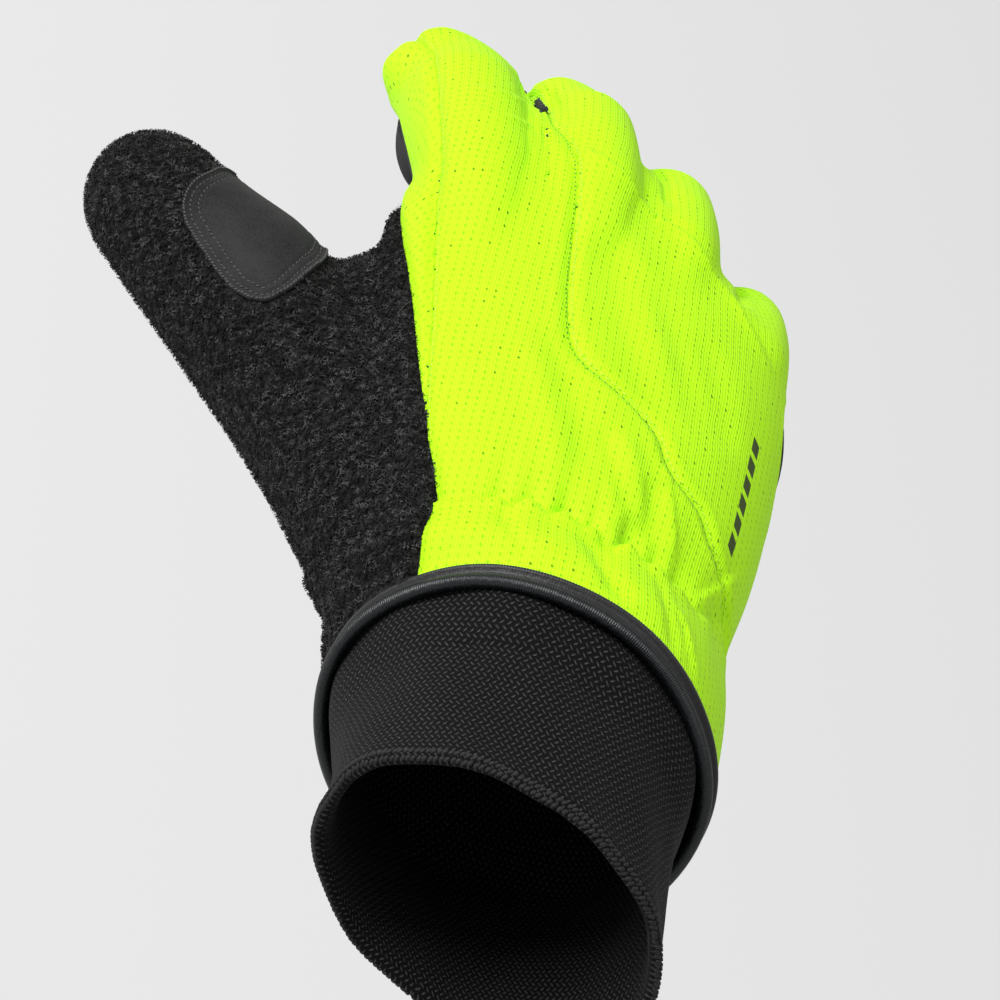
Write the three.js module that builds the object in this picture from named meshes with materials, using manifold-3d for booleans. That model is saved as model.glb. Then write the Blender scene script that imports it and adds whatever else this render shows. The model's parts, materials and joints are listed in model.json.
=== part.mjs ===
// A padded winter cycling glove for the right hand, standing as it does on a hand that reaches out.
// Millimetres and degrees. The origin is the middle of the knit cuff's mouth, where the hand goes in.
// +Y runs along the hand to the fingers, +Z is the back of the hand and -X is the thumb's side.
import * as THREE from 'three';
import { mergeVertices } from 'three/addons/utils/BufferGeometryUtils.js';
import Module from 'manifold-3d';

const wasm = await Module();
wasm.setup();

// Sizes of the hand part
const HAND_BREADTH = 92;
const HAND_DEPTH = 48;
const SHELL_LENGTH = 134;
const WALL = 2.6;
const GAP = 0.34;

// Sizes of the fingers and the thumb
const FINGER_LENGTH = 101;
const FINGER_WIDTH = 23.8;
const FINGER_DEPTH = 28;
const FINGER_ROOT = 24;
const THUMB_LENGTH = 142;
const THUMB_WIDTH = 33;
const WEB_WIDTH = 44;

// Gathers over the wrist elastic
const GATHERS = 17;
const GATHER_DEPTH = 1.5;

// Cuff: knit tube, binding tape and round piping
const KNIT_WALL = 2.4;
const KNIT_LENGTH = 70;
const KNIT_EDGE = 0.7;
const RIM_WIDTH = 77.2;
const KNIT_PLAY = 3.8;
const KNIT_WIDTH = RIM_WIDTH - 2 * KNIT_PLAY;
const RIM_AT = 44;
const BINDING_WIDTH = 2.4;
const BINDING_RISE = 0.7;
const PIPING_WIDTH = 2.8;

// Reinforcing patch on the thumb
const PATCH_WALL = 0.9;

// Seam angles, from the top towards the little finger: fleece to palm on the hand, back to palm on
// the fingers and the thumb, and both edges of the panel on the index finger's side
const PALM_SEAM = -128;
const FINGER_SEAM = 96;
const THUMB_SEAM = 98;
const SIDE_FROM = -114;
const SIDE_TO = -52;

// Facets, and how far cutting bodies stand out of what they cut
const HAND_SIDES = 36;
const VOID_SIDES = 22;
const FINGER_SIDES = 12;
const FINGER_VOID_SIDES = 10;
const KNIT_SIDES = 32;
const CORD_SIDES = 6;
const PATCH_STEPS = 6;
const FINGER_RINGS = 7;
const THUMB_RINGS = 6;
const ROUND_END = [0.45, 0.8, 0.98];
const ARC_STEP = 10;
const REACH = 1.5;
const HAND_REACH = 3;
const VOID_PAST = 1;
const WELDS = [0.004, 0.002, 0.001];

// The hand from the rim to the knuckles. at is a share of SHELL_LENGTH, x and half are shares of
// HAND_BREADTH, z, back and palm are shares of HAND_DEPTH, turn and tip lean the section in degrees.
// gather is the share of the gathers' depth. fleece, yoke and ulnar are seam angles, from the top of
// the back towards the little finger.
const HAND = table('at x z half back palm turn tip gather fleece yoke ulnar', [
  [0, 0.036, -0.142, 0.42, 0.804, 0.804, 16.4, -7.1, 0, -53, 100, 108],
  [0.07, 0.037, -0.12, 0.433, 0.76, 0.745, 12, -4.5, 0.3, -53.5, 100, 108],
  [0.135, 0.038, -0.095, 0.434, 0.69, 0.68, 7, -1, 0.6, -53, 100, 108],
  [0.19, 0.038, -0.077, 0.425, 0.615, 0.61, 3, 3, 1, -52.5, 92, 108],
  [0.232, 0.038, -0.067, 0.42, 0.588, 0.59, 1, 5, 1, -53.5, 76, 107],
  [0.29, 0.041, -0.055, 0.43, 0.6, 0.585, 0, 4.5, 0.6, -55.5, 52, 105],
  [0.37, 0.047, -0.04, 0.446, 0.575, 0.57, 0, 3, 0.25, -58.5, 27, 101],
  [0.455, 0.051, -0.03, 0.46, 0.545, 0.54, 0, 1.5, 0, -62, 9, 94],
  [0.56, 0.055, -0.02, 0.473, 0.515, 0.51, 0, 0, 0, -66.5, -11, 84],
  [0.68, 0.058, -0.01, 0.488, 0.475, 0.47, 0, 0, 0, -72, -17, 74],
  [0.8, 0.052, 0, 0.496, 0.42, 0.43, 0, 0, 0, -79, -17, 74],
  [0.9, 0.04, 0.01, 0.493, 0.365, 0.37, 0, 0, 0, -88, -15, 84],
  [0.965, 0.033, 0, 0.468, 0.29, 0.3, 0, 0, 0, -92, -13.5, 92],
  [1, 0.033, 0, 0.42, 0.18, 0.19, 0, 0, 0, -92, -13, 92],
]);

// Index, middle, ring and little finger from their knuckles. x is a share of HAND_BREADTH, y of
// SHELL_LENGTH past the rim, z of HAND_DEPTH, long of FINGER_LENGTH, wide and deep of the finger's
// width and depth. turn spreads it in the plane of the hand, lean adds to that at each joint, and
// root, mid and end are the three joints' flexion.
const FINGERS = table('x y z long wide deep turn lean root mid end', [
  [-0.274, 0.943, 0.11, 0.96, 1.09, 1.02, -6.5, 20, 16, 38, 20],
  [-0.03, 0.962, 0.185, 1, 1, 1.03, 0.5, 0, 20, 46, 22],
  [0.19, 0.93, 0.135, 0.93, 0.97, 1, 4.5, 0, 25, 49, 23],
  [0.418, 0.839, 0.02, 0.76, 0.9, 0.93, 8, -2, 28.5, 48, 22],
]);
const BONES = [0.52, 0.27, 0.22];
const FINGER_TAPER = [0.72, 0.98, 1.02, 0.93, 0.84];

// The thumb from deep in the palm to its tip: along is a share of THUMB_LENGTH, turn and tip its heading
const THUMB_START = { x: -0.172, y: 0.258, z: -0.2 };
const THUMB = [
  { along: 0.33, turn: 32, tip: -10 },
  { along: 0.275, turn: 39.5, tip: -9 },
  { along: 0.32, turn: 41, tip: -9 },
];
const THUMB_ROLL = 45;
const THUMB_TAPER = [1.34, 1.12, 0.99, 0.81];

// The web between thumb and index: a flat tube from the palm to the edge of the web
const WEB = [
  { x: -0.16, y: 0.46, z: -0.16, wide: 0.8, deep: 0.72 },
  { x: -0.3, y: 0.63, z: -0.18, wide: 1, deep: 0.6 },
  { x: -0.4, y: 0.75, z: -0.2, wide: 0.96, deep: 0.46 },
  { x: -0.445, y: 0.805, z: -0.2, wide: 0.86, deep: 0.32 },
  { x: -0.46, y: 0.83, z: -0.2, wide: 0.72, deep: 0.18 },
];
const WEB_ROLL = 33;

// Patch outline along the thumb: along is a share of the thumb's length, from and to are angles
const PATCH = [
  { along: 0.522, from: 14, to: 26 },
  { along: 0.53, from: 9, to: 35 },
  { along: 0.545, from: 5, to: 47 },
  { along: 0.575, from: 1, to: 70 },
  { along: 0.62, from: 0, to: 92 },
  { along: 0.68, from: 2, to: 97 },
  { along: 0.73, from: 5, to: 99 },
  { along: 0.765, from: 13, to: 99 },
  { along: 0.788, from: 26, to: 98 },
  { along: 0.803, from: 48, to: 97 },
  { along: 0.824, from: 76, to: 92 },
];

// The knit cuff from its mouth to its end inside the shell, at shares of KNIT_LENGTH.
// half and high are shares of half of KNIT_WIDTH.
const KNIT = [
  { at: 0, x: 0, z: 0, half: 1, high: 0.885, turn: 19, tip: -1, edge: 0.6 },
  { at: 0.022, x: 0, z: -0.01, half: 1, high: 0.885, turn: 19, tip: -1.5, edge: 1 },
  { at: 0.06, x: 0.005, z: -0.015, half: 0.99, high: 0.885, turn: 19, tip: -2, edge: 0.5 },
  { at: 0.095, x: 0.01, z: -0.02, half: 0.98, high: 0.885, turn: 18.8, tip: -2.5, edge: 0 },
  { at: 0.3, x: 0.035, z: -0.085, half: 0.96, high: 0.92, turn: 18, tip: -5, edge: 0 },
  { at: 0.5, x: 0.07, z: -0.16, half: 0.98, high: 0.97, turn: 17, tip: -6.5, edge: 0 },
  { at: 0.64, x: 0.095, z: -0.195, half: 1, high: 1, turn: 16.4, tip: -7, edge: 0 },
  { at: 0.82, x: 0.1, z: -0.165, half: 0.96, high: 0.875, turn: 12, tip: -4.5, edge: 0 },
  { at: 1, x: 0.1, z: -0.12, half: 0.93, high: 0.715, turn: 6, tip: 0, edge: 0 },
];

const rad = THREE.MathUtils.degToRad;

function table(columns, rows) {
  const names = columns.split(' ');
  return rows.map((row) => Object.fromEntries(names.map((name, i) => [name, row[i]])));
}

// A cross-section's place: axis along the piece, side across it and up out of its back
function frame(centre, turn, tip, roll = 0) {
  const axis = new THREE.Vector3(
    Math.sin(rad(turn)) * Math.cos(rad(tip)),
    Math.cos(rad(turn)) * Math.cos(rad(tip)),
    Math.sin(rad(tip)),
  );
  return squareTo(centre, axis, turn, roll);
}

function squareTo(centre, axis, turn, roll = 0) {
  const level = new THREE.Vector3(Math.cos(rad(turn)), -Math.sin(rad(turn)), 0);
  const side = level.addScaledVector(axis, -level.dot(axis)).normalize();
  side.applyAxisAngle(axis, rad(-roll));
  const up = new THREE.Vector3().crossVectors(side, axis);
  return { centre, axis, side, up };
}

// The point at an angle from the section's top towards its side, grown outwards by a distance
function rimPoint(section, angle, grow = 0) {
  const s = Math.sin(rad(angle));
  const c = Math.cos(rad(angle));
  const ripple = section.ripple ? section.ripple(angle) : 0;
  const across = section.half + grow + ripple;
  const out = (c > 0 ? section.back : section.palm) + grow + ripple;
  return section.centre.clone()
    .addScaledVector(section.side, across * s)
    .addScaledVector(section.up, out * c);
}

// A closed body over rings of equally many points, with a fan over each end
function skin(rings, closed = false) {
  const n = rings[0].length;
  const faces = [];
  const spans = closed ? rings.length : rings.length - 1;
  for (let r = 0; r < spans; r++) {
    const near = r * n;
    const far = ((r + 1) % rings.length) * n;
    for (let i = 0; i < n; i++) {
      const j = (i + 1) % n;
      faces.push(near + i, near + j, far + j, near + i, far + j, far + i);
    }
  }
  if (!closed) {
    const last = (rings.length - 1) * n;
    for (let i = 1; i + 1 < n; i++) {
      faces.push(0, i + 1, i);
      faces.push(last, last + i, last + i + 1);
    }
  }
  const geometry = new THREE.BufferGeometry().setFromPoints(rings.flat());
  geometry.setIndex(faces);
  return geometry;
}

function solid(geometry, weld = 1e-4) {
  const merged = mergeVertices(geometry, weld);
  return new wasm.Manifold(new wasm.Mesh({
    numProp: 3,
    vertProperties: merged.attributes.position.array,
    triVerts: new Uint32Array(merged.index.array),
  }));
}

function joined(solids) {
  return solids.reduce((whole, next) => whole.add(next));
}

// A body with a whole outline at each section
function tube(sections, sides, grow = 0) {
  const angles = Array.from({ length: sides }, (_, i) => (360 * i) / sides);
  return solid(skin(sections.map((s) => angles.map((a) => rimPoint(s, a, grow)))));
}

// A wedge that runs along the sections from their middle outwards, between two angles at each.
// It stands proud of them by reach, and past both ends by over.
function wedge(sections, span, reach, over) {
  const widest = Math.max(...sections.map((s, i) => span(s, i)[1] - span(s, i)[0]));
  const steps = Math.ceil(widest / ARC_STEP);
  const rings = sections.map((s, i) => {
    const [from, to] = span(s, i);
    const past = i === 0 ? -over : i === sections.length - 1 ? over : 0;
    const shifted = { ...s, centre: s.centre.clone().addScaledVector(s.axis, past) };
    const arc = Array.from({ length: steps + 1 }, (_, k) => from + ((to - from) * k) / steps);
    return [shifted.centre, ...arc.map((a) => rimPoint(shifted, a, reach))];
  });
  return solid(skin(rings));
}

// The angle that a distance takes up on a section
function angleOf(section, distance) {
  return THREE.MathUtils.radToDeg(distance / section.half);
}

// Sections of the hand
const rimTurn = HAND[0].turn;
const rimTip = HAND[0].tip;
const rimMiddle = new THREE.Vector3(HAND[0].x * HAND_BREADTH, RIM_AT, HAND[0].z * HAND_DEPTH);
const rimFrame = frame(rimMiddle, rimTurn, rimTip);
const shellStart = PIPING_WIDTH / 2 + GAP + BINDING_WIDTH + GAP;

function gatherAt(share) {
  return (angle) => share * GATHER_DEPTH * 0.5 * (Math.cos(rad(angle * GATHERS)) - 1);
}

const shellFrom = rimMiddle.clone().addScaledVector(rimFrame.axis, shellStart);
const handSections = HAND.map((row) => {
  const middle = new THREE.Vector3(
    row.x * HAND_BREADTH,
    shellFrom.y + row.at * SHELL_LENGTH,
    row.z * HAND_DEPTH,
  );
  const round = row.at === 0;
  return {
    ...frame(round ? shellFrom.clone() : middle, row.turn, row.tip),
    half: round ? RIM_WIDTH / 2 : row.half * HAND_BREADTH,
    back: round ? RIM_WIDTH / 2 : row.back * HAND_DEPTH,
    palm: round ? RIM_WIDTH / 2 : row.palm * HAND_DEPTH,
    ripple: gatherAt(row.gather),
    seams: row,
  };
});

// The same sections without gathers, begun a little before the rim, so that the cuff stays open,
// and ended a wall's thickness before the knuckles
const handVoid = handSections.map((s, i) => ({
  ...s,
  centre: s.centre.clone()
    .addScaledVector(s.axis, i === 0 ? -VOID_PAST : i === HAND.length - 1 ? -WALL : 0),
  ripple: gatherAt(0),
  half: s.half - GATHER_DEPTH * s.seams.gather,
  back: s.back - GATHER_DEPTH * s.seams.gather,
  palm: s.palm - GATHER_DEPTH * s.seams.gather,
}));

// Sections along a curve through points, with a round end
function alongCurve(points, turn, roll, sizeAt, grow, count) {
  const curve = new THREE.CatmullRomCurve3(points, false, 'centripetal');
  const length = curve.getLength();
  const end = sizeAt(1);
  const round = Math.max(end.half, end.back) + grow;
  const straight = length + grow - round;
  const stops = [];
  for (let i = 0; i <= count; i++) stops.push({ s: (straight * i) / count, k: 1 });
  for (const share of ROUND_END) {
    stops.push({ s: straight + round * share, k: Math.sqrt(1 - share * share) });
  }
  return stops.map(({ s, k }) => {
    const u = Math.min(s / length, 1);
    const size = sizeAt(u);
    const axis = curve.getTangentAt(u);
    const centre = curve.getPointAt(u).addScaledVector(axis, Math.max(0, s - length));
    return {
      ...squareTo(centre, axis, turn, roll),
      half: (size.half + grow) * k - grow,
      back: (size.back + grow) * k - grow,
      palm: (size.palm + grow) * k - grow,
      share: s / length,
    };
  });
}

// Reads a table of values at even steps
function evenly(values, u) {
  const place = u * (values.length - 1);
  const i = Math.min(Math.floor(place), values.length - 2);
  return THREE.MathUtils.lerp(values[i], values[i + 1], place - i);
}

function atShare(x, y, z) {
  return new THREE.Vector3(x * HAND_BREADTH, shellFrom.y + y * SHELL_LENGTH, z * HAND_DEPTH);
}

function fingerSections(row, grow) {
  const knuckle = atShare(row.x, row.y, row.z);
  const level = frame(knuckle, row.turn, 0).axis;
  const points = [knuckle.clone().addScaledVector(level, -FINGER_ROOT), knuckle];
  const bends = [row.root, row.mid, row.end];
  let bend = 0;
  let turn = row.turn;
  BONES.forEach((share, i) => {
    bend += bends[i];
    const heading = frame(knuckle, turn, -bend).axis;
    points.push(points.at(-1).clone().addScaledVector(heading, share * row.long * FINGER_LENGTH));
    turn += row.lean;
  });
  const sizeAt = (u) => ({
    half: 0.5 * FINGER_WIDTH * row.wide * evenly(FINGER_TAPER, u),
    back: 0.5 * FINGER_DEPTH * row.deep * evenly(FINGER_TAPER, u),
    palm: 0.5 * FINGER_DEPTH * row.deep * evenly(FINGER_TAPER, u),
  });
  return alongCurve(points, row.turn, 0, sizeAt, grow, FINGER_RINGS);
}

function thumbSections(grow) {
  const points = [atShare(THUMB_START.x, THUMB_START.y, THUMB_START.z)];
  for (const row of THUMB) {
    const heading = frame(points[0], -row.turn, row.tip).axis;
    points.push(points.at(-1).clone().addScaledVector(heading, row.along * THUMB_LENGTH));
  }
  const sizeAt = (u) => {
    const half = 0.5 * THUMB_WIDTH * evenly(THUMB_TAPER, u);
    return { half, back: half, palm: half };
  };
  return alongCurve(points, -THUMB[1].turn, THUMB_ROLL, sizeAt, grow, THUMB_RINGS);
}

function webSections() {
  const middles = WEB.map((row) => atShare(row.x, row.y, row.z));
  const heading = middles.at(-1).clone().sub(middles[0]).normalize();
  const turn = THREE.MathUtils.radToDeg(Math.atan2(heading.x, heading.y));
  return WEB.map((row, i) => ({
    ...squareTo(middles[i], heading, turn, WEB_ROLL),
    half: 0.5 * WEB_WIDTH * row.wide,
    back: 0.5 * WEB_WIDTH * row.deep,
    palm: 0.5 * WEB_WIDTH * row.deep,
  }));
}

const fingers = FINGERS.map((row) => ({
  row,
  outside: fingerSections(row, 0),
  inside: fingerSections(row, -WALL),
}));
const thumbOutside = thumbSections(0);
const thumbInside = thumbSections(-WALL);
const webOutside = webSections();

const outer = joined([
  tube(handSections, HAND_SIDES),
  ...fingers.map((f) => tube(f.outside, FINGER_SIDES)),
  tube(thumbOutside, FINGER_SIDES),
  tube(webOutside, FINGER_SIDES),
]);
const inner = joined([
  tube(handVoid, VOID_SIDES, -WALL),
  ...fingers.map((f) => tube(f.inside, FINGER_VOID_SIDES, -WALL)),
  tube(thumbInside, FINGER_VOID_SIDES, -WALL),
  tube(webOutside, FINGER_VOID_SIDES, -WALL),
]);
const shell = outer.subtract(inner);

// Regions of the shell that each panel takes, widened or narrowed by a distance at its seams
function handRegion(from, to, widen) {
  return wedge(handSections, (s) => {
    const w = angleOf(s, widen);
    return [from(s.seams) - w, to(s.seams) + w];
  }, HAND_REACH + 4 * widen, HAND_REACH + widen);
}

function tubeRegion(sections, from, to, widen) {
  return wedge(sections, (s) => {
    const w = angleOf(s, widen);
    return [from - w, to + w];
  }, REACH + 5 * widen, REACH + 2 * widen);
}

const half = GAP / 2;
const [index, ...others] = fingers;

function sideRegion(widen) {
  return tubeRegion(index.outside, SIDE_FROM, SIDE_TO, widen);
}

function innerRegion(widen) {
  return joined([
    handRegion((s) => s.fleece, (s) => Math.min(s.yoke, s.ulnar), widen),
    tubeRegion(index.outside, SIDE_FROM, FINGER_SEAM, widen),
  ]);
}

function outerRegion(widen) {
  return joined([
    handRegion((s) => Math.min(s.yoke, s.ulnar), (s) => s.ulnar, widen),
    ...others.map((f) => tubeRegion(f.outside, -FINGER_SEAM, FINGER_SEAM, widen)),
  ]);
}

function fleeceRegion(widen) {
  return joined([
    handRegion(() => PALM_SEAM, (s) => s.fleece, widen),
    tubeRegion(thumbOutside, -THUMB_SEAM, THUMB_SEAM, widen),
    tubeRegion(webOutside, -THUMB_SEAM, THUMB_SEAM, widen),
  ]);
}

// A region drawn in from its seams by half a gap
function inside(region) {
  return region(half).intersect(region(-half));
}

const regions = joined([innerRegion(half), outerRegion(half)]);
const backOuter = shell.intersect(inside(outerRegion));
const backInner = shell.intersect(inside(innerRegion))
  .subtract(outerRegion(half))
  .subtract(sideRegion(half));
const indexSide = shell.intersect(inside(sideRegion)).subtract(outerRegion(half));
const fleece = shell.intersect(inside(fleeceRegion)).subtract(regions);
const palm = shell.subtract(regions).subtract(fleeceRegion(half));

// The patch lies on the thumb as a thin plate with a rounded outline
function patchPlate() {
  const sections = thumbSections(0);
  const rings = PATCH.map((row) => {
    const s = sectionAt(sections, row.along);
    const arc = Array.from(
      { length: PATCH_STEPS + 1 },
      (_, k) => row.from + ((row.to - row.from) * k) / PATCH_STEPS,
    );
    const over = arc.map((a) => rimPoint(s, a, GAP + PATCH_WALL));
    const under = arc.reverse().map((a) => rimPoint(s, a, GAP));
    return [...over, ...under];
  });
  return solid(skin(rings));
}

function sectionAt(sections, share) {
  const i = Math.max(1, sections.findIndex((s) => s.share >= share));
  const a = sections[i - 1];
  const b = sections[i];
  const t = (share - a.share) / (b.share - a.share);
  const mix = (key) => THREE.MathUtils.lerp(a[key], b[key], t);
  return {
    centre: a.centre.clone().lerp(b.centre, t),
    axis: a.axis.clone().lerp(b.axis, t).normalize(),
    side: a.side.clone().lerp(b.side, t).normalize(),
    up: a.up.clone().lerp(b.up, t).normalize(),
    half: mix('half'),
    back: mix('back'),
    palm: mix('palm'),
  };
}

const patch = patchPlate()
  .subtract(tube(webOutside, FINGER_SIDES, GAP))
  .subtract(tube(handSections, HAND_SIDES, GAP));

// The knit cuff
const knitSections = KNIT.map((row) => ({
  ...frame(
    new THREE.Vector3(row.x * KNIT_WIDTH / 2, row.at * KNIT_LENGTH, row.z * KNIT_WIDTH / 2),
    row.turn,
    row.tip,
  ),
  half: (row.half * KNIT_WIDTH) / 2 + row.edge * KNIT_EDGE,
  back: (row.high * KNIT_WIDTH) / 2 + row.edge * KNIT_EDGE,
  palm: (row.high * KNIT_WIDTH) / 2 + row.edge * KNIT_EDGE,
}));
const knitVoid = knitSections.map((s, i) => {
  const past = i === 0 ? -VOID_PAST : i === KNIT.length - 1 ? VOID_PAST : 0;
  const edge = KNIT[i].edge * KNIT_EDGE;
  return {
    ...s,
    centre: s.centre.clone().addScaledVector(s.axis, past),
    half: s.half - edge,
    back: s.back - edge,
    palm: s.palm - edge,
  };
});
const knit = tube(knitSections, KNIT_SIDES).subtract(tube(knitVoid, KNIT_SIDES, -KNIT_WALL));

// A hoop round the rim: the outline runs in the plane of outwards and along the cuff
function hoop(outline, sides) {
  const rings = Array.from({ length: sides }, (_, i) => {
    const angle = (360 * i) / sides;
    const out = rimFrame.side.clone().multiplyScalar(Math.sin(rad(angle)))
      .addScaledVector(rimFrame.up, Math.cos(rad(angle)));
    return outline.map(([across, ahead]) => rimMiddle.clone()
      .addScaledVector(out, across)
      .addScaledVector(rimFrame.axis, ahead));
  });
  return solid(skin(rings, true));
}

const rimRadius = RIM_WIDTH / 2;
const bindingFrom = PIPING_WIDTH / 2 + GAP;
const binding = hoop([
  [rimRadius - WALL, bindingFrom],
  [rimRadius - WALL, bindingFrom + BINDING_WIDTH],
  [rimRadius + BINDING_RISE, bindingFrom + BINDING_WIDTH],
  [rimRadius + BINDING_RISE, bindingFrom],
], KNIT_SIDES);
const cord = Array.from({ length: CORD_SIDES }, (_, i) => {
  const angle = rad((-360 * (i + 0.5)) / CORD_SIDES);
  const radius = PIPING_WIDTH / 2;
  return [rimRadius - radius + BINDING_RISE + radius * Math.cos(angle), radius * Math.sin(angle)];
});
const piping = hoop(cord, KNIT_SIDES);

// Colours and finishes
const FINISH = {
  neon: { color: 0xc6f52a, roughness: 0.75, metalness: 0 },
  fleece: { color: 0x2b2b2d, roughness: 1, metalness: 0 },
  suede: { color: 0x333335, roughness: 0.9, metalness: 0 },
  knit: { color: 0x2a2a2c, roughness: 0.95, metalness: 0 },
  tape: { color: 0x1b1b1d, roughness: 0.6, metalness: 0 },
};

const glove = new THREE.Group();

function largest(body) {
  return body.decompose().sort((a, b) => b.volume() - a.volume())[0];
}

function geometryOf(body) {
  const mesh = body.getMesh();
  const geometry = new THREE.BufferGeometry();
  geometry.setAttribute('position', new THREE.BufferAttribute(mesh.vertProperties, mesh.numProp));
  geometry.setIndex(new THREE.BufferAttribute(mesh.triVerts, 1));
  return geometry;
}

// One named piece from a solid. Crumbs thinner than a hair, left by a cut along a seam, aren't kept.
function piece(name, body, finish) {
  let main = largest(body);
  for (const weld of WELDS) main = largest(solid(geometryOf(main), weld));
  const geometry = geometryOf(main);
  geometry.computeVertexNormals();
  const made = new THREE.Mesh(geometry, new THREE.MeshStandardMaterial(FINISH[finish]));
  made.name = name;
  glove.add(made);
}

piece('back_outer', backOuter, 'neon');
piece('back_inner', backInner, 'neon');
piece('index_side', indexSide, 'neon');
piece('thumb_fleece', fleece, 'fleece');
piece('palm', palm, 'suede');
piece('thumb_patch', patch, 'suede');
piece('cuff_binding', binding, 'tape');
piece('cuff_piping', piping, 'tape');
piece('knit_cuff', knit, 'knit');

export default glove;
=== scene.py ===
import json
import math

import bpy
import numpy as np
from mathutils import Matrix, Vector, kdtree
from mathutils.bvhtree import BVHTree

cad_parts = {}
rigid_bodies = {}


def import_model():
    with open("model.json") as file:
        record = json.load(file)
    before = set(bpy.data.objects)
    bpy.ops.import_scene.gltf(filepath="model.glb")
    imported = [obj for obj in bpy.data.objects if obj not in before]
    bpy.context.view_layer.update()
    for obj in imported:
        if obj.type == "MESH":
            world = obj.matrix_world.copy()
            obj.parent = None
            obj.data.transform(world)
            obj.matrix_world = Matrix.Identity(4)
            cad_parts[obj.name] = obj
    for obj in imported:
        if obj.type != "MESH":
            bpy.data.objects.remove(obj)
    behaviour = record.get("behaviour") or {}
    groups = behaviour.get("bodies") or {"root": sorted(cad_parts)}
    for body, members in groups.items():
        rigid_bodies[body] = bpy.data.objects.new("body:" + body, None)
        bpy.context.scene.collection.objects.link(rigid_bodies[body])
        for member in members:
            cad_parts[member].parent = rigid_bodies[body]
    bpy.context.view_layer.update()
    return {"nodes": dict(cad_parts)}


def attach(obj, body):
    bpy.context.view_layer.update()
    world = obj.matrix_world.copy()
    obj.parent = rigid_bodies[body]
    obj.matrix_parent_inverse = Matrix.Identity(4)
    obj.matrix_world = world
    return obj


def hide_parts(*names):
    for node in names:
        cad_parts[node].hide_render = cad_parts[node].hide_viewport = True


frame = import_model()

bpy.ops.object.select_all(action="DESELECT")

# Sizes in metres
MM = 0.001
SKIN_VOXEL = 0.8 * MM
WALL = 0.8 * MM
# The nodes are grown so far that their slits close, and the smoothed skin is drawn in again
GROWN = 1.3 * MM
DRAWN_IN = 0.8 * MM
SKIN_SMOOTHING = 45
PANEL_TRIANGLES = 105000
SEAM_DEPTH = 0.9 * MM
SEAM_REACH = 1.3 * MM
# A cut nearer to a corner than this share of an edge goes through the corner
SNAP = 0.16
# Lines over a skin are read at this step
LINE_STEP = 0.25 * MM

# The cuff's rim, a round hoop leaning on the wrist
RIM_MIDDLE = Vector((3.312, 44, -6.816)) * MM
RIM_RADIUS = 38.6 * MM
RIM_TURN = math.radians(16.4)
RIM_TIP = math.radians(-7.1)
SHELL_START = 4.48 * MM
# The shell's edge is cut this far ahead of its start, then drawn back under the binding
EDGE_CUT = 2.5 * MM
EDGE_UNDER = -1.1 * MM
EDGE_BLEND = 9 * MM

PANELS = ["back_inner", "back_outer", "index_side", "thumb_fleece", "palm"]
# A row of the skin's table: point, normal, distances to the panels' nodes and to the patch's node
FIRST_DISTANCE = 6
PATCH_DISTANCE = FIRST_DISTANCE + len(PANELS)


def heading(turn, tip):
    return Vector((math.sin(turn) * math.cos(tip), math.cos(turn) * math.cos(tip), math.sin(tip)))


def axes(turn, tip):
    """A tube's own axes, from its turn and tip in degrees: ahead, to the side and up."""
    turn, tip = math.radians(turn), math.radians(tip)
    ahead = np.array(heading(turn, tip))
    side = np.array((math.cos(turn), -math.sin(turn), 0))
    return ahead, side, np.cross(side, ahead)


RIM_AXIS = heading(RIM_TURN, RIM_TIP)
RIM_SIDE = Vector((math.cos(RIM_TURN), -math.sin(RIM_TURN), 0))
RIM_SIDE = (RIM_SIDE - RIM_AXIS * RIM_SIDE.dot(RIM_AXIS)).normalized()
RIM_UP = RIM_SIDE.cross(RIM_AXIS)


# Working with one object at a time


def only(obj):
    bpy.ops.object.select_all(action="DESELECT")
    obj.select_set(True)
    bpy.context.view_layer.objects.active = obj
    return obj


def new_object(name, mesh):
    obj = bpy.data.objects.new(name, mesh)
    bpy.context.scene.collection.objects.link(obj)
    return only(obj)


def edit(obj, *steps):
    only(obj)
    bpy.ops.object.mode_set(mode="EDIT")
    bpy.ops.mesh.select_all(action="SELECT")
    for step in steps:
        step()
    bpy.ops.object.mode_set(mode="OBJECT")


def modifier(obj, kind, **values):
    only(obj)
    made = obj.modifiers.new(kind.title(), kind)
    for key, value in values.items():
        setattr(made, key, value)
    bpy.ops.object.modifier_apply(modifier=made.name)


def weld(obj, distance):
    edit(obj, lambda: bpy.ops.mesh.remove_doubles(threshold=distance))


def copy_of(name, *nodes):
    """Merged copies of CAD nodes, joined in one object."""
    copies = [new_object(name, frame["nodes"][n].data.copy()) for n in nodes]
    bpy.ops.object.select_all(action="DESELECT")
    for c in copies:
        c.select_set(True)
    bpy.context.view_layer.objects.active = copies[0]
    if len(copies) > 1:
        bpy.ops.object.join()
    copies[0].data.materials.clear()
    weld(copies[0], 1e-6)
    return copies[0]


def points_of(mesh):
    co = np.empty(len(mesh.vertices) * 3, np.float32)
    mesh.vertices.foreach_get("co", co)
    return co.reshape(-1, 3).astype(float)


def triangles_of(mesh):
    mesh.calc_loop_triangles()
    tri = np.empty(len(mesh.loop_triangles) * 3, np.int32)
    mesh.loop_triangles.foreach_get("vertices", tri)
    return tri.reshape(-1, 3)


def move_points(mesh, co):
    mesh.vertices.foreach_set("co", co.astype(np.float32).ravel())
    mesh.update()


def mesh_from(name, co, faces):
    mesh = bpy.data.meshes.new(name)
    mesh.from_pydata(co.tolist(), [], faces.tolist())
    mesh.validate()
    mesh.shade_smooth()
    return mesh


# Fields over a skin of triangles


def all_edges(tri):
    return np.sort(np.concatenate([tri[:, [0, 1]], tri[:, [1, 2]], tri[:, [2, 0]]]), axis=1)


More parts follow.
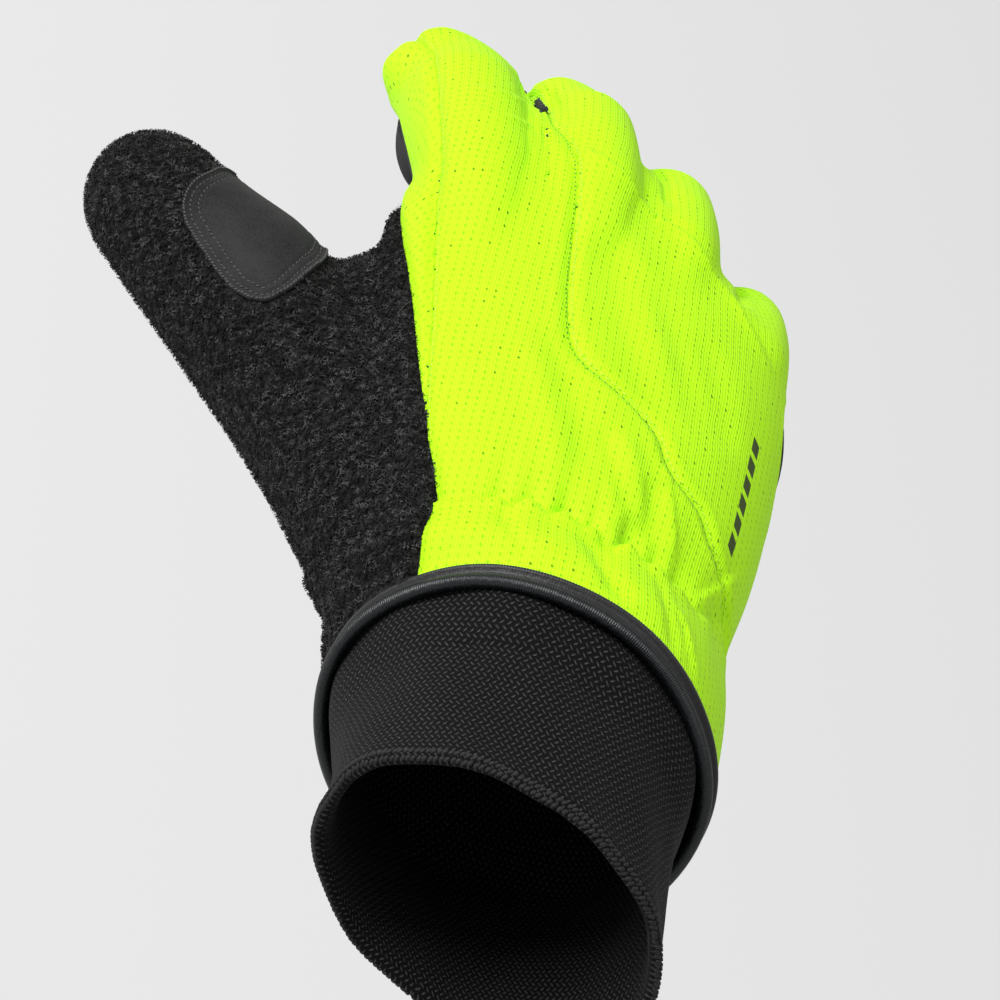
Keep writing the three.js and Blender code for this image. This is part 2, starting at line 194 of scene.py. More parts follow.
def boundary_edges(tri):
    unique, count = np.unique(all_edges(tri), axis=0, return_counts=True)
    return unique[count == 1]


class Skin:
    """Points with a table of values that go with them, and their triangles."""

    def __init__(self, co, tri):
        self.co = co
        self.tri = tri
        self.edges = np.unique(all_edges(tri), axis=0)
        self.count = np.bincount(self.edges.ravel(), minlength=len(co)).astype(float)
        self.count[self.count == 0] = 1

    def mean(self, values):
        a, b = self.edges[:, 0], self.edges[:, 1]
        flat = values.reshape(len(values), -1)
        out = np.empty_like(flat)
        for k in range(flat.shape[1]):
            column = flat[:, k]
            total = np.bincount(a, column[b], len(flat)) + np.bincount(b, column[a], len(flat))
            out[:, k] = total / self.count
        return out.reshape(values.shape)

    def smooth(self, values, steps):
        for _ in range(steps):
            values = values + 0.5 * (self.mean(values) - values)
        return values

    def normals(self):
        a, b, c = (self.co[self.tri[:, k]] for k in range(3))
        face = np.cross(b - a, c - a)
        out = np.zeros_like(self.co)
        for k in range(3):
            for axis in range(3):
                out[:, axis] += np.bincount(self.tri[:, k], face[:, axis], len(self.co))
        return out / np.maximum(np.linalg.norm(out, axis=1, keepdims=True), 1e-12)


def split(table, tri, field, snap=0.0):
    """Cuts triangles along the line where field, one value for each row of table, is zero.
    Gives the new table, and the triangles below and above zero. A cut nearer to a corner than
    snap, a share of the edge, goes through the corner."""
    below = field < 0
    low = below[tri].sum(1)
    whole_low, whole_high = tri[low == 3], tri[low == 0]
    crossed = tri[(low == 1) | (low == 2)]
    one_low = low[(low == 1) | (low == 2)] == 1
    lone = np.where(one_low[:, None], below[crossed], ~below[crossed])
    first = lone.argmax(1)
    rows = np.arange(len(crossed))
    a, b, c = (crossed[rows, (first + k) % 3] for k in range(3))
    pairs = np.sort(np.concatenate([np.stack([a, b], 1), np.stack([a, c], 1)]), axis=1)
    unique, place = np.unique(pairs, axis=0, return_inverse=True)
    f, g = field[unique[:, 0]], field[unique[:, 1]]
    t = (f / (f - g))[:, None]
    made = table[unique[:, 0]] * (1 - t) + table[unique[:, 1]] * t
    ids = np.arange(len(unique)) + len(table)
    ids = np.where(t[:, 0] < snap, unique[:, 0], np.where(t[:, 0] > 1 - snap, unique[:, 1], ids))
    ab, ac = ids[place.ravel()].reshape(2, -1)
    tips = np.stack([a, ab, ac], 1)
    rest = np.concatenate([np.stack([ab, b, c], 1), np.stack([ab, c, ac], 1)])
    tip_low = below[a]
    rest_low = np.concatenate([~tip_low, ~tip_low])
    lows = np.concatenate([whole_low, tips[tip_low], rest[rest_low]])
    highs = np.concatenate([whole_high, tips[~tip_low], rest[~rest_low]])
    lows, highs = (f[(f != np.roll(f, 1, axis=1)).all(1)] for f in (lows, highs))
    return np.concatenate([table, made]), lows, highs


def trimmed(table, tri):
    """Only the rows that the triangles use."""
    used, place = np.unique(tri, return_inverse=True)
    return table[used], place.reshape(-1, 3)


# The glove's outer skin, from the five shell nodes


def outer_skin():
    body = copy_of("skin", *PANELS)
    modifier(body, "DISPLACE", strength=GROWN, mid_level=0)
    modifier(body, "REMESH", mode="VOXEL", voxel_size=SKIN_VOXEL)
    co, tri = points_of(body.data), triangles_of(body.data)
    bpy.data.objects.remove(body)
    along = (co[tri].mean(1) - np.array(RIM_MIDDLE + RIM_AXIS * SHELL_START)) @ np.array(RIM_AXIS)
    tri = tri[along > 1.0 * MM]
    rest = new_object("rest", mesh_from("rest", co, tri))
    edit(rest, lambda: bpy.ops.mesh.separate(type="LOOSE"))
    parts = [o for o in bpy.context.scene.objects if o.name.startswith("rest")]
    parts.sort(key=lambda o: len(o.data.vertices))
    keep = parts[-1].data
    found = points_of(keep), triangles_of(keep)
    for o in parts:
        bpy.data.objects.remove(o)
    return Skin(*found)


def nearest(co, node):
    mesh = frame["nodes"][node].data
    tree = BVHTree.FromPolygons([v.co for v in mesh.vertices], [p.vertices for p in mesh.polygons])
    return np.array([tree.find_nearest(p)[3] for p in co.tolist()])


# A dent and a ridge are even; a lap stands up on its left and drops to its right.
FOLDS = [
    # kind, reach to each side, height, line, all in millimetres
    ("ridge", 2.4, 0.35, [(-36.4, 227.6, 1.4), (-32.1, 225.4, 4.7), (-25, 224, 5.5), (-18, 225, 2)]),
    ("lap", 1.5, 0.65, [(-18, 214, 7), (-24.2, 204, 12.6), (-29.2, 201.5, 14.6), (-35.8, 201.8, 12)]),
    ("lap", 1.6, 0.5, [(-13.7, 209.5, 3.5), (-22, 195.8, 14.2), (-27.8, 192.4, 16.4), (-36.4, 194.6, 11.7)]),
    ("dent", 1.3, 1.5, [(-11.5, 227.5, -0.6), (-12.2, 215.9, 6.2), (-11.7, 207.7, 9.9), (-11, 199.5, 13.4)]),
    ("dent", 1.4, 1.5, [(14, 216, 0), (13.9, 211, 4.5), (14, 205.1, 7.9), (13.6, 195.8, 12.1),
                        (13, 188, 15)]),
    ("dent", 1.4, 1.4, [(37, 192, -3), (36.9, 187.6, 2.3), (33.7, 175.5, 10.8), (32.6, 170, 13.2)]),
    ("lap", 2.6, 1.3, [(43, 154, 10), (40.2, 157.2, 12.5), (35, 163, 14), (30.1, 170, 14.6),
                       (22.1, 175, 17.3), (14.2, 180.5, 17.6), (6, 184, 18.8), (-2.2, 186.5, 20.4),
                       (-7.8, 190, 18.6), (-11.1, 196, 14.1)]),
    ("dent", 5.0, 1.0, [(-5.8, 172, 20.9), (0.4, 159, 19.4), (2.7, 141.2, 22), (6.9, 126.5, 23.4),
                        (12.1, 113, 24), (14, 104, 24)]),
    ("ridge", 4.0, 0.6, [(2, 172, 21), (8, 159, 20), (10.5, 141, 22), (14.5, 126, 23)]),
    ("dent", 4.2, 1.1, [(-10.5, 134, 21.5), (-9.5, 126.1, 22.1), (-5.6, 111.1, 23.7), (-2.4, 99.7, 24.7),
                        (0.7, 88, 25.5)]),
    ("ridge", 3.2, 0.6, [(-16, 126, 21), (-12, 111, 23), (-9, 99, 24), (-7, 86, 24)]),
    ("dent", 2.0, 0.8, [(1, 107, 25), (2.1, 101.4, 25), (4.2, 94.4, 25.7), (7.7, 83, 24.8)]),
    ("ridge", 2.2, 0.7, [(5, 106, 25), (7.5, 99, 25.2), (9.5, 92, 25.2), (11, 83, 24)]),
    ("dent", 2.4, 1.1, [(12.5, 97, 24.6), (12.9, 91, 24.6), (13.3, 83.5, 24.3), (13.1, 80, 23.4)]),
    ("lap", 1.6, 0.7, [(20.1, 80, 21.5), (19.1, 85.5, 23.5), (17.4, 94.2, 24.1), (15.4, 103.7, 23.8)]),
    ("dent", 4.5, 0.7, [(6.6, 163.7, 18.7), (12.7, 146.5, 21), (19.4, 128.5, 22), (23, 113.1, 21.9)]),
    ("dent", 4.0, 0.6, [(21.3, 150, 19.5), (27.1, 131.8, 19.9), (29.4, 116, 19.5)]),
    ("lap", 3.4, 0.6, [(37.5, 93.5, 12), (35.5, 91.1, 14.6), (32.8, 86.4, 16.2), (28.6, 79.6, 18.4),
                       (25.5, 75.5, 19.3)]),
    ("dent", 2.4, 0.8, [(40, 84, 6), (37.7, 83, 10.6), (34.4, 79.7, 12.9), (30.3, 75, 16.4)]),
    ("lap", 1.8, 0.7, [(18.8, 66, 26), (21.7, 60.9, 25), (23.5, 54.6, 25.3), (26, 49, 24.5)]),
    ("dent", 1.3, 0.8, [(-16, 76.3, 19.9), (-14.5, 68.1, 24.4), (-12.6, 63.2, 26.7), (-10.8, 60, 27.4)]),
    ("dent", 2.8, 1.8, [(1, 76, 25), (2.3, 66, 29.4), (5.6, 59.6, 30.5), (10.5, 57.5, 29.9)]),
    ("dent", 1.6, 0.8, [(15.5, 72.7, 23.8), (16.8, 64.2, 26.9), (18.4, 56.4, 27.9), (19.9, 50, 27.8)]),
]

# The gathered line over the wrist elastic: angle round the wrist from the top of the back towards the
# little finger, in degrees, and how far the line lies towards the fingers, in millimetres
WRIST = np.array((3.5, 79.4, -3.2)) * MM
WRIST_TURN, WRIST_TIP = 1, 5
GATHER = [
    (-180, -1), (-168, 1.5), (-156, -1.5), (-142, 1.5), (-128, -1.5), (-114, 1.6), (-100, -1.4), (-86, 1.2),
    (-74, -1.2), (-62.5, 1.6), (-54, 0.1), (-48, 1.2), (-44.9, 0.7), (-40.2, 2.2), (-36, 0.1), (-29.5, 2.6),
    (-22, -0.3), (-15.9, 2.2), (-11, 0.4), (-7.2, -0.5), (-3.6, 0.9), (1.5, -3.2), (5.2, -3.2), (10.5, 0.8),
    (19.5, -2.3), (24.3, -0.6), (30, -3), (36, -1.6), (45, -4.2), (53, -2.4), (60, -3.2), (70, -1.8),
    (80, -2.8), (92, -0.4), (104, -2.6), (116, 0.8), (130, -2), (142, 1), (154, -2), (168, 1), (180, -1),
]
LOBE = 2.9 * MM


def polyline_place(co, normals, line):
    """Signed distance of points to a line, positive on its left, and the place along it from 0 to 1."""
    line = np.array(line) * MM
    step = np.diff(line, axis=0)
    lengths = np.linalg.norm(step, axis=1)
    starts = np.concatenate([[0], np.cumsum(lengths)])
    best = np.full(len(co), 1e9)
    side = np.zeros(len(co))
    place = np.zeros(len(co))
    for k, d in enumerate(step):
        rel = co - line[k]
        t = np.clip(rel @ d / (d @ d), 0, 1)
        off = rel - t[:, None] * d
        # the height over the line counts less, as the skin may lie a little off it
        off = off - 0.6 * (off * normals).sum(1, keepdims=True) * normals
        gap = np.linalg.norm(off, axis=1)
        closer = gap < best
        best[closer] = gap[closer]
        left = np.cross(normals, d / lengths[k])
        side[closer] = np.sign((off * left).sum(1))[closer]
        place[closer] = ((starts[k] + t * lengths[k]) / starts[-1])[closer]
    return best * side, place


def rise(x, low, high):
    """From 0 at low to 1 at high, smoothly."""
    t = np.clip((x - low) / (high - low), 0, 1)
    return t * t * (3 - 2 * t)


def bell(x, middle, width):
    return np.exp(-(((x - middle) / width) ** 2))


def fold_height(co, normals):
    total = np.zeros(len(co))
    for kind, width, height, line in FOLDS:
        near = np.linalg.norm(co - np.array(line).mean(0) * MM, axis=1) < 90 * MM
        s, place = polyline_place(co[near], normals[near], line)
        s = s / (width * MM)
        ends = rise(place, 0, 0.2) * rise(1 - place, 0, 0.2)
        if kind == "lap":
            shape = np.where(s > 0, np.exp(-np.abs(s) ** 1.3), -0.55 * np.exp(-np.abs(s) * 1.4))
            shape *= rise(np.abs(s), 0, 0.25) * 0.9 + 0.1
        else:
            shape = np.exp(-s * s) * (1 if kind == "ridge" else -1)
        total[near] += ends * shape * height * MM
    return total


def gather_height(co):
    """Lobes towards the cuff, a crease and hollows between the lobes, along the gathered line."""
    axis, side, up = axes(WRIST_TURN, WRIST_TIP)
    rel = co - WRIST
    angle = np.degrees(np.arctan2(rel @ side, rel @ up))
    knots = np.array(GATHER, float)
    wide = np.arange(-180, 180.5, 0.5)
    line = np.interp(wide, knots[:, 0], knots[:, 1])
    mean = np.interp(wide, wide, np.convolve(np.pad(line, 60, "wrap"), np.ones(121) / 121, "valid"))
    kernel = np.hanning(9) / np.hanning(9).sum()
    line = np.convolve(np.pad(line, 4, "wrap"), kernel, "valid")
    level = np.interp(angle, wide, line) * MM
    share = np.clip(np.interp(angle, wide, (line - mean) / 2.2), -1, 1)
    a = rel @ axis - level
    lobe = LOBE * (0.45 + 0.55 * share)
    below = np.where(a < 0, lobe * np.exp(-np.abs(a) / (6 * MM)) * rise(-a, 0, 0.9 * MM), 0)
    above = np.where(a > 0, -0.8 * LOBE * (0.35 + 0.65 * share) * np.exp(-a / (7 * MM)), 0)
    crease = -1.2 * MM * bell(a, 0, 0.8 * MM)
    reach = (np.abs(a) < 40 * MM) * rise(rim_distance(co), 6 * MM, 16 * MM)
    reach = reach * (0.4 + 0.6 * rise(np.abs(angle + 53), 2, 14)) * (1 - 0.55 * rise(angle, 36, 56))
    return (below + above + crease) * reach


def rim_distance(co):
    return (co - np.array(RIM_MIDDLE)) @ np.array(RIM_AXIS)


# The padded back runs over the fingers' roots as far as this line, in millimetres: x, then y
PADDING_X = [-40, -11, -2, 6, 14, 22, 30, 35, 40, 46]
PADDING_Y = [196, 196, 187, 185, 181, 175, 170, 163, 157, 150]
FINGER_GAPS = [
    # middle, reach towards the fingertips, depth filled, all in millimetres
    (-14, 241, -48),
    (14, 208, -26),
    (35.5, 185, -26),
]


def knuckle_fill(skin):
    """Fills the hollows between the fingers where the padded back runs over them."""
    calm = skin.smooth(skin.co, 200)
    normals = skin.normals()
    lift = np.maximum(0, ((calm - skin.co) * normals).sum(1))
    x, y, z = skin.co.T / MM
    ridge = np.interp(x, PADDING_X, PADDING_Y)
    share = rise(ridge - y, -4, 3) * rise(z, 4, 9) * rise(y, 130, 140)
    for middle, far, deep in FINGER_GAPS:
        gap = rise(7.5 - np.abs(x - middle), 0, 5) * rise(far - y, -3, 5)
        share = np.maximum(share, gap * rise(z, deep, deep + 10) * rise(y, 150, 165))
    return Skin(skin.co + normals * (lift * share * 1.1)[:, None], skin.tri)


PUSHES = [
    # soft pushes of the form, in millimetres: place, movement, reach
    ((-34, 232, -40), (4.4, 0.4, 2.2), 20),
    ((-42, 226, -9), (-4.6, 0.6, -1.0), 8),
    ((-37, 232, -5), (-1.2, 1.8, 1.2), 6),
    ((-28, 235, -6), (-0.2, 0.2, 0.2), 13),
    ((-14, 229, -12), (-1.2, 2.4, 2.1), 7),
    ((-17, 230, -5), (2.0, 0.5, 1.2), 9),
    ((-12, 229, -3), (-1.4, 2.2, 1.9), 8),
    ((0, 226, 2), (0.4, -0.9, -0.8), 9),
    ((-60, 156, -14), (1.2, 1.9, 2.5), 15),
]
# The valley beside the index finger, in millimetres
VALLEY = (-3, 222, -4)
VALLEY_REACH = 15
VALLEY_UNSEWN = 8

# Seams from the fingers to the wrist, in millimetres
YOKE_SEAM = [
    (-13, 230, -6), (-12.9, 224.2, -1), (-13.2, 212.7, 5), (-13, 203.2, 9.6), (-10.9, 195.9, 14.3),
    (-9.8, 187.3, 17.6), (-9.1, 177.9, 18.6), (-8.6, 165.9, 18.7), (-8.4, 156.2, 18.4), (-8.6, 144.1, 20.6),
    (-8.2, 135.2, 21.5), (-7.4, 128.8, 22.2), (-5.7, 124.4, 22.8), (-3, 121.3, 23.4), (1.4, 118.7, 23.9),
    (7.5, 115.9, 24.1), (11.9, 112.3, 24.1), (13.8, 108.9, 24), (15.4, 103.7, 23.8), (18.1, 100.5, 23.8),
    (23.2, 97.6, 22.2), (28.5, 95.4, 20),
]
SIDE_SEAM = [
    (-39.8, 230, -6), (-39.8, 222.6, 0.8), (-39.8, 211.7, 4.9), (-39.6, 202.2, 7.5), (-38.7, 190.9, 9.2),
    (-37.3, 180.9, 10), (-35.9, 172.8, 9.3), (-35.4, 164.1, 8.7), (-35, 153.8, 9.8), (-34.2, 144.4, 10.3),
    (-33, 130, 11), (-32, 118, 11), (-31.2, 106, 11.5), (-30.5, 98, 12), (-30, 90, 12),
]
FLEECE_SEAM = [
    (-43, 172, -2), (-41.6, 166, 1), (-40.8, 161.5, 2.4), (-38.8, 150, 5), (-36.6, 137, 7),
    (-34.8, 124.4, 8.7), (-32, 106.1, 11.2), (-28.6, 86.6, 13.1), (-27.2, 76.7, 13), (-30, 67, 12),
    (-33.5, 60, 7), (-36, 52, 3), (-38, 40, 0),
]


def near_line(co, normals, line, reach=20):
    """Signed distance to a line where it is near, with how much it counts there, from 0 to 1."""
    pts = np.array(line) * MM
    low, high = pts.min(0) - reach * MM, pts.max(0) + reach * MM
    near = ((co > low) & (co < high)).all(1)
    s = np.full(len(co), 1.0)
    s[near], _ = polyline_place(co[near], normals[near], line)
    step = np.gradient(pts, axis=0)
    before = (co - pts[0]) @ (step[0] / np.linalg.norm(step[0]))
    after = (co - pts[-1]) @ (step[-1] / np.linalg.norm(step[-1]))
    count = rise(reach * MM - np.abs(s), 0, 0.5 * reach * MM)
    return s, count * rise(-after, -2 * MM, 6 * MM) * rise(before, -8 * MM, 0)


def seam_fields(co, normals, d):
    """Distances to the panels, led by the seams' own lines where these run."""
    inner, outer, side, fleece, palm = (d[:, k].copy() for k in range(5))
    top = rise(co[:, 2], -14 * MM, -6 * MM)
    s, share = near_line(co, normals, YOKE_SEAM)
    share = share * top
    inner = inner * (1 - share) + share * np.maximum(s, 0)
    outer = outer * (1 - share) + share * np.maximum(-s, 0)
    palm = palm + share * 12 * MM
    s1, share1 = near_line(co, normals, SIDE_SEAM, 14)
    s2, share2 = near_line(co, normals, FLEECE_SEAM, 14)
    share1, share2 = share1 * top, share2 * top
    neon = np.where(share2 > 0, s2, 1.0)
    inner = inner * (1 - share1) + share1 * np.maximum(-s1, 0)
    side = side * (1 - share1) + share1 * np.maximum(s1, 0)
    inner = inner + share2 * np.maximum(-neon, 0)
    side = np.maximum(side, share2 * np.maximum(-neon, 0))
    fleece = fleece * (1 - share2) + share2 * np.maximum(s2, 0)
    fleece = fleece + share1 * (1 - share2) * 10 * MM
    palm = palm + np.maximum(share1 * rise(co[:, 2], -10 * MM, -2 * MM), share2) * 10 * MM
    x, y, z = co.T / MM
    fingers = rise(y, 150, 165) * rise(z, -28, -20) * rise(x, -28, -20)
    index = rise(y, 176, 190) * rise(-x, 26, 32) * rise(z, -34, -24)
    gaps = rise(8 - np.abs(x + 14), 0, 3) * rise(y, 205, 215) * rise(z, -32, -28)
    for middle in (14, 35.5):
        gap = rise(7 - np.abs(x - middle), 0, 3) * rise(y, 150, 165) * rise(z, -28, -20)
        gaps = np.maximum(gaps, gap)
    tips = rise(x, -10, -4) * rise(y, 212, 220) * rise(z, -42, -36)
    palm = palm + (fingers * 4 + np.maximum(gaps, tips) * 30 + index * 2.6) * MM
    # The underside of the bent index finger is palm
    under = rise(-z, 32, 35) * rise(y, 212, 218) * rise(-x, 5, 9)
    palm = palm * (1 - under)
    inner, outer, side = inner + under * 20 * MM, outer + under * 20 * MM, side + under * 20 * MM
    return np.stack([inner, outer, side, fleece, palm], 1)


def smoothed_skin():
    """The outer skin without facets, its edge held in place and then cut even."""
    skin = outer_skin()
    edge = np.unique(boundary_edges(skin.tri))
    held = skin.co[edge]
    for _ in range(SKIN_SMOOTHING):
        skin.co = skin.smooth(skin.co, 1)
        skin.co[edge] = held
    skin.co = skin.co - skin.smooth(skin.normals(), 2) * DRAWN_IN
    rim_cut = rim_distance(skin.co) - (SHELL_START + EDGE_CUT)
    return Skin(*trimmed(*split(skin.co, skin.tri, rim_cut, SNAP)[::2]))


def pushed(co):
    for place, movement, reach in PUSHES:
        far = np.linalg.norm(co - np.array(place) * MM, axis=1) / (reach * MM)
        co = co + np.exp(-far * far)[:, None] * np.array(movement) * MM
    return co


def valley_calmed(skin):
    calm = skin.smooth(skin.co, 150)
    near = np.linalg.norm(skin.co / MM - VALLEY, axis=1)
    return skin.co + (calm - skin.co) * rise(VALLEY_REACH - near, 0, 8)[:, None]


def under_binding(co):
    """Draws the shell's edge under the binding, just inside the rim's radius."""
    ahead = rim_distance(co) - SHELL_START
    pulled = np.interp(ahead, (EDGE_CUT, EDGE_BLEND, 1), (EDGE_UNDER, EDGE_BLEND, 1))
    co = co + np.array(RIM_AXIS) * (pulled - ahead)[:, None]
    rel = co - np.array(RIM_MIDDLE)
    rel -= np.outer(rel @ np.array(RIM_AXIS), RIM_AXIS)
    radius = np.linalg.norm(rel, axis=1)
    widen = (1 - rise(pulled, EDGE_UNDER, 8 * MM)) * (RIM_RADIUS - 0.2 * MM - radius) / radius
    return co + rel * widen[:, None]


def cut_panels(table, tri):
    """Cuts the skin along the seams. Gives the grown table and each panel's triangles."""
    cuts = {}
    for k, name in enumerate(PANELS[:-1]):
        others = np.delete(table[:, FIRST_DISTANCE:PATCH_DISTANCE], k, 1).min(1)
        table, cuts[name], tri = split(table, tri, table[:, FIRST_DISTANCE + k] - others, SNAP)
    cuts[PANELS[-1]] = tri
    return table, cuts


skin = smoothed_skin()
distances = np.stack([nearest(skin.co, n) for n in PANELS + ["thumb_patch"]], 1)
for _ in range(3):
    skin = knuckle_fill(skin)
skin.co = pushed(skin.co)
skin.co = valley_calmed(skin)
skin.co = under_binding(skin.co)
normals = skin.smooth(skin.normals(), 4)
distances[:, :5] = seam_fields(skin.co, normals, distances)
distances = skin.smooth(distances, 6)
height = fold_height(skin.co, normals) + gather_height(skin.co)
skin.co = skin.smooth(skin.co + normals * height[:, None], 2)
table, cuts = cut_panels(np.concatenate([skin.co, skin.normals(), distances], 1), skin.tri)


def seam_distance(co, ends):
    """Distance of each point to the nearest of the segments between two points."""
    tree = kdtree.KDTree(len(ends))
    for i, p in enumerate(co[ends].mean(1).tolist()):
        tree.insert(p, i)
    tree.balance()
    near = np.array([tree.find(p)[1] for p in co.tolist()])
    a, b = co[ends[near, 0]], co[ends[near, 1]]
    d = b - a
    t = np.clip(((co - a) * d).sum(1) / np.maximum((d * d).sum(1), 1e-16), 0, 1)
    return np.linalg.norm(co - a - t[:, None] * d, axis=1)


def chains(edges):
    """Ordered runs of points that the edges join."""
    links = {}
    for a, b in edges.tolist():
        links.setdefault(a, []).append(b)
        links.setdefault(b, []).append(a)
    runs = []
    for first in sorted(links, key=lambda p: (len(links[p]) != 1, p)):
        if not links[first]:
            continue
        run = [first]
        while links[run[-1]]:
            nxt = links[run[-1]].pop()
            links[nxt].remove(run[-1])
            run.append(nxt)
        runs.append(run)
    return runs


def level_lines(rows, faces, field, level, longer=8 * MM):
    """Lines over a skin where the field has that level, each as rows of the table at even steps."""
    before = len(rows)
    cut, low, _ = split(rows, faces, field - level)
    edges = boundary_edges(low)
    edges = edges[(edges >= before).all(1)]
    found = []
    for run in chains(edges):
        line = cut[run]
        step = np.linalg.norm(np.diff(line[:, :3], axis=0), axis=1)
        along = np.concatenate([[0], np.cumsum(step)])
        if along[-1] < longer:
            continue
        stops = np.arange(0, along[-1], LINE_STEP)
        found.append(np.stack([np.interp(stops, along, line[:, k]) for k in range(line.shape[1])], 1))
    return found


def sewn(name, lines, pitch, length, radius, lift=0.0, flat=1.0, slant=0.0):
    """Rows of stitches along lines, in one mesh: flat is their height as a share of their width, and
    slant turns them on the line."""
    # Places along a stitch and its thickness there, as shares of its length and radius
    rings = [(-0.5, 0.35), (-0.25, 0.9), (0.25, 0.9), (0.5, 0.35)]
    sides = 5
    base, faces = [], []
    for along, size in rings:
        for k in range(sides):
            t = 2 * math.pi * k / sides
            across, proud = size * radius * math.cos(t), size * radius * math.sin(t)
            base.append((along * length, across, proud * flat))
    for r in range(len(rings) - 1):
        for k in range(sides):
            a, b = r * sides + k, r * sides + (k + 1) % sides
            faces += [(a, b, b + sides), (a, b + sides, a + sides)]
    last = (len(rings) - 1) * sides
    for k in range(1, sides - 1):
        faces += [(0, k + 1, k), (last, last + k, last + k + 1)]
    base, faces = np.array(base), np.array(faces)
    co, out = [], []
    for line in lines:
        count = int(len(line) * LINE_STEP / pitch)
        for i in range(count):
            j = min(int((i + 0.5) * pitch / LINE_STEP), len(line) - 2)
            p, n = line[j, :3], line[j, 3:6]
            t = line[min(j + 2, len(line) - 1), :3] - line[max(j - 2, 0), :3]
            t = t - n * (t @ n)
            t = t / max(np.linalg.norm(t), 1e-9)
            s = np.cross(n, t)
            t = t * math.cos(slant) + s * math.sin(slant)
            s = np.cross(n, t)
            out.append(faces + len(base) * len(out))
            co.append(p + n * lift + base[:, :1] * t + base[:, 1:2] * s + base[:, 2:3] * n)
    return new_object(name, mesh_from(name, np.concatenate(co), np.concatenate(out)))


MAP_TRIANGLES = 3600
# The knit's columns run ahead along the hand, a little inwards, and bend down with the fingertips
KNIT_LEAN = 0.075
TIPS_BEND = (185, 240), (0, 1.6)


def weave_map(obj, turn=0.0):
    """Lays a panel flat, in millimetres, so that its knit runs along the hand and the finger. The two
    coordinates are solved on a light copy, whose map is then read at the panel's points."""
    light = new_object("light", obj.data.copy())
    modifier(light, "DECIMATE", ratio=min(1, MAP_TRIANGLES / len(obj.data.polygons)))
    co, tri = points_of(light.data) / MM, triangles_of(light.data)
    bpy.data.objects.remove(light)
    a, b, c = (co[tri[:, k]] for k in range(3))
    normal = np.cross(b - a, c - a)
    double = np.linalg.norm(normal, axis=1, keepdims=True)
    tri, a, b, c, normal, double = (v[double[:, 0] > 1e-6] for v in (tri, a, b, c, normal, double))
    normal = normal / double
    lean, one = np.full(len(tri), KNIT_LEAN), np.ones(len(tri))
    ahead = np.stack([lean, one, -np.interp(a[:, 1], *TIPS_BEND)], 1)
    ahead -= normal * (ahead * normal).sum(1, keepdims=True)
    along = np.cross(normal, (0.997, -KNIT_LEAN, 0)) + 0.6 * ahead
    along -= normal * (along * normal).sum(1, keepdims=True)
    along /= np.maximum(np.linalg.norm(along, axis=1, keepdims=True), 1e-9)
    across = np.cross(along, normal)
    slopes = [np.cross(normal, e) / double for e in (c - b, a - c, b - a)]
    whole = np.zeros((len(co), len(co)))
    wanted = np.zeros((len(co), 2))
    for i in range(3):
        for k, way in enumerate((across, along)):
            np.add.at(wanted[:, k], tri[:, i], 0.5 * double[:, 0] * (slopes[i] * way).sum(1))
        for j in range(3):
            np.add.at(whole, (tri[:, i], tri[:, j]), 0.5 * double[:, 0] * (slopes[i] * slopes[j]).sum(1))
    flat = np.linalg.solve(whole + 1e-6 * np.eye(len(co)), wanted)
    cosine, sine = math.cos(turn), math.sin(turn)
    flat = flat @ np.array(((cosine, sine), (-sine, cosine)))
    tree = BVHTree.FromPolygons(co.tolist(), tri.tolist())
    fine = points_of(obj.data) / MM
    face = np.array([tree.find_nearest(p)[2] for p in fine.tolist()])
    moved = np.zeros((len(fine), 2))
    for i in range(3):
        share = ((fine - co[tri[face, (i + 1) % 3]]) * slopes[i][face]).sum(1, keepdims=True)
        moved += np.clip(share, -1, 2) * flat[tri[face, i]]
    layer = obj.data.uv_layers.new(name="weave")
    corner = np.empty(len(obj.data.loops), np.int32)
    obj.data.loops.foreach_get("vertex_index", corner)
    layer.data.foreach_set("uv", moved[corner].astype(np.float32).ravel())


def seam_groove(away):
    """The skin sinks at a seam, and the cloth beside it stands up a little."""
    return -SEAM_DEPTH * bell(away, 0, SEAM_REACH) + 0.18 * MM * bell(away, 3 * MM, 1.3 * MM)


KNIT_TURNS = {"back_inner": 0, "back_outer": 0, "index_side": math.radians(48)}
PILE = 0.6 * MM
panels, kept = {}, {}
for name, faces in cuts.items():
    rows, faces = trimmed(table, faces)
    ends = boundary_edges(faces)
    ends = ends[(rim_distance(rows[ends, :3].mean(1)) > SHELL_START + 1.5 * MM)]
    away = seam_distance(rows[:, :3], ends)
    groove = seam_groove(away)
    if name == "thumb_fleece":
        groove += PILE * rise(away, 0, 2.5 * MM)
    rows[:, :3] += rows[:, 3:6] * groove[:, None]
    kept[name] = rows, faces, away
    panels[name] = new_object(name + "_panel", mesh_from(name, rows[:, :3], faces))
    if name in KNIT_TURNS:
        weave_map(panels[name], KNIT_TURNS[name])


# Finishes


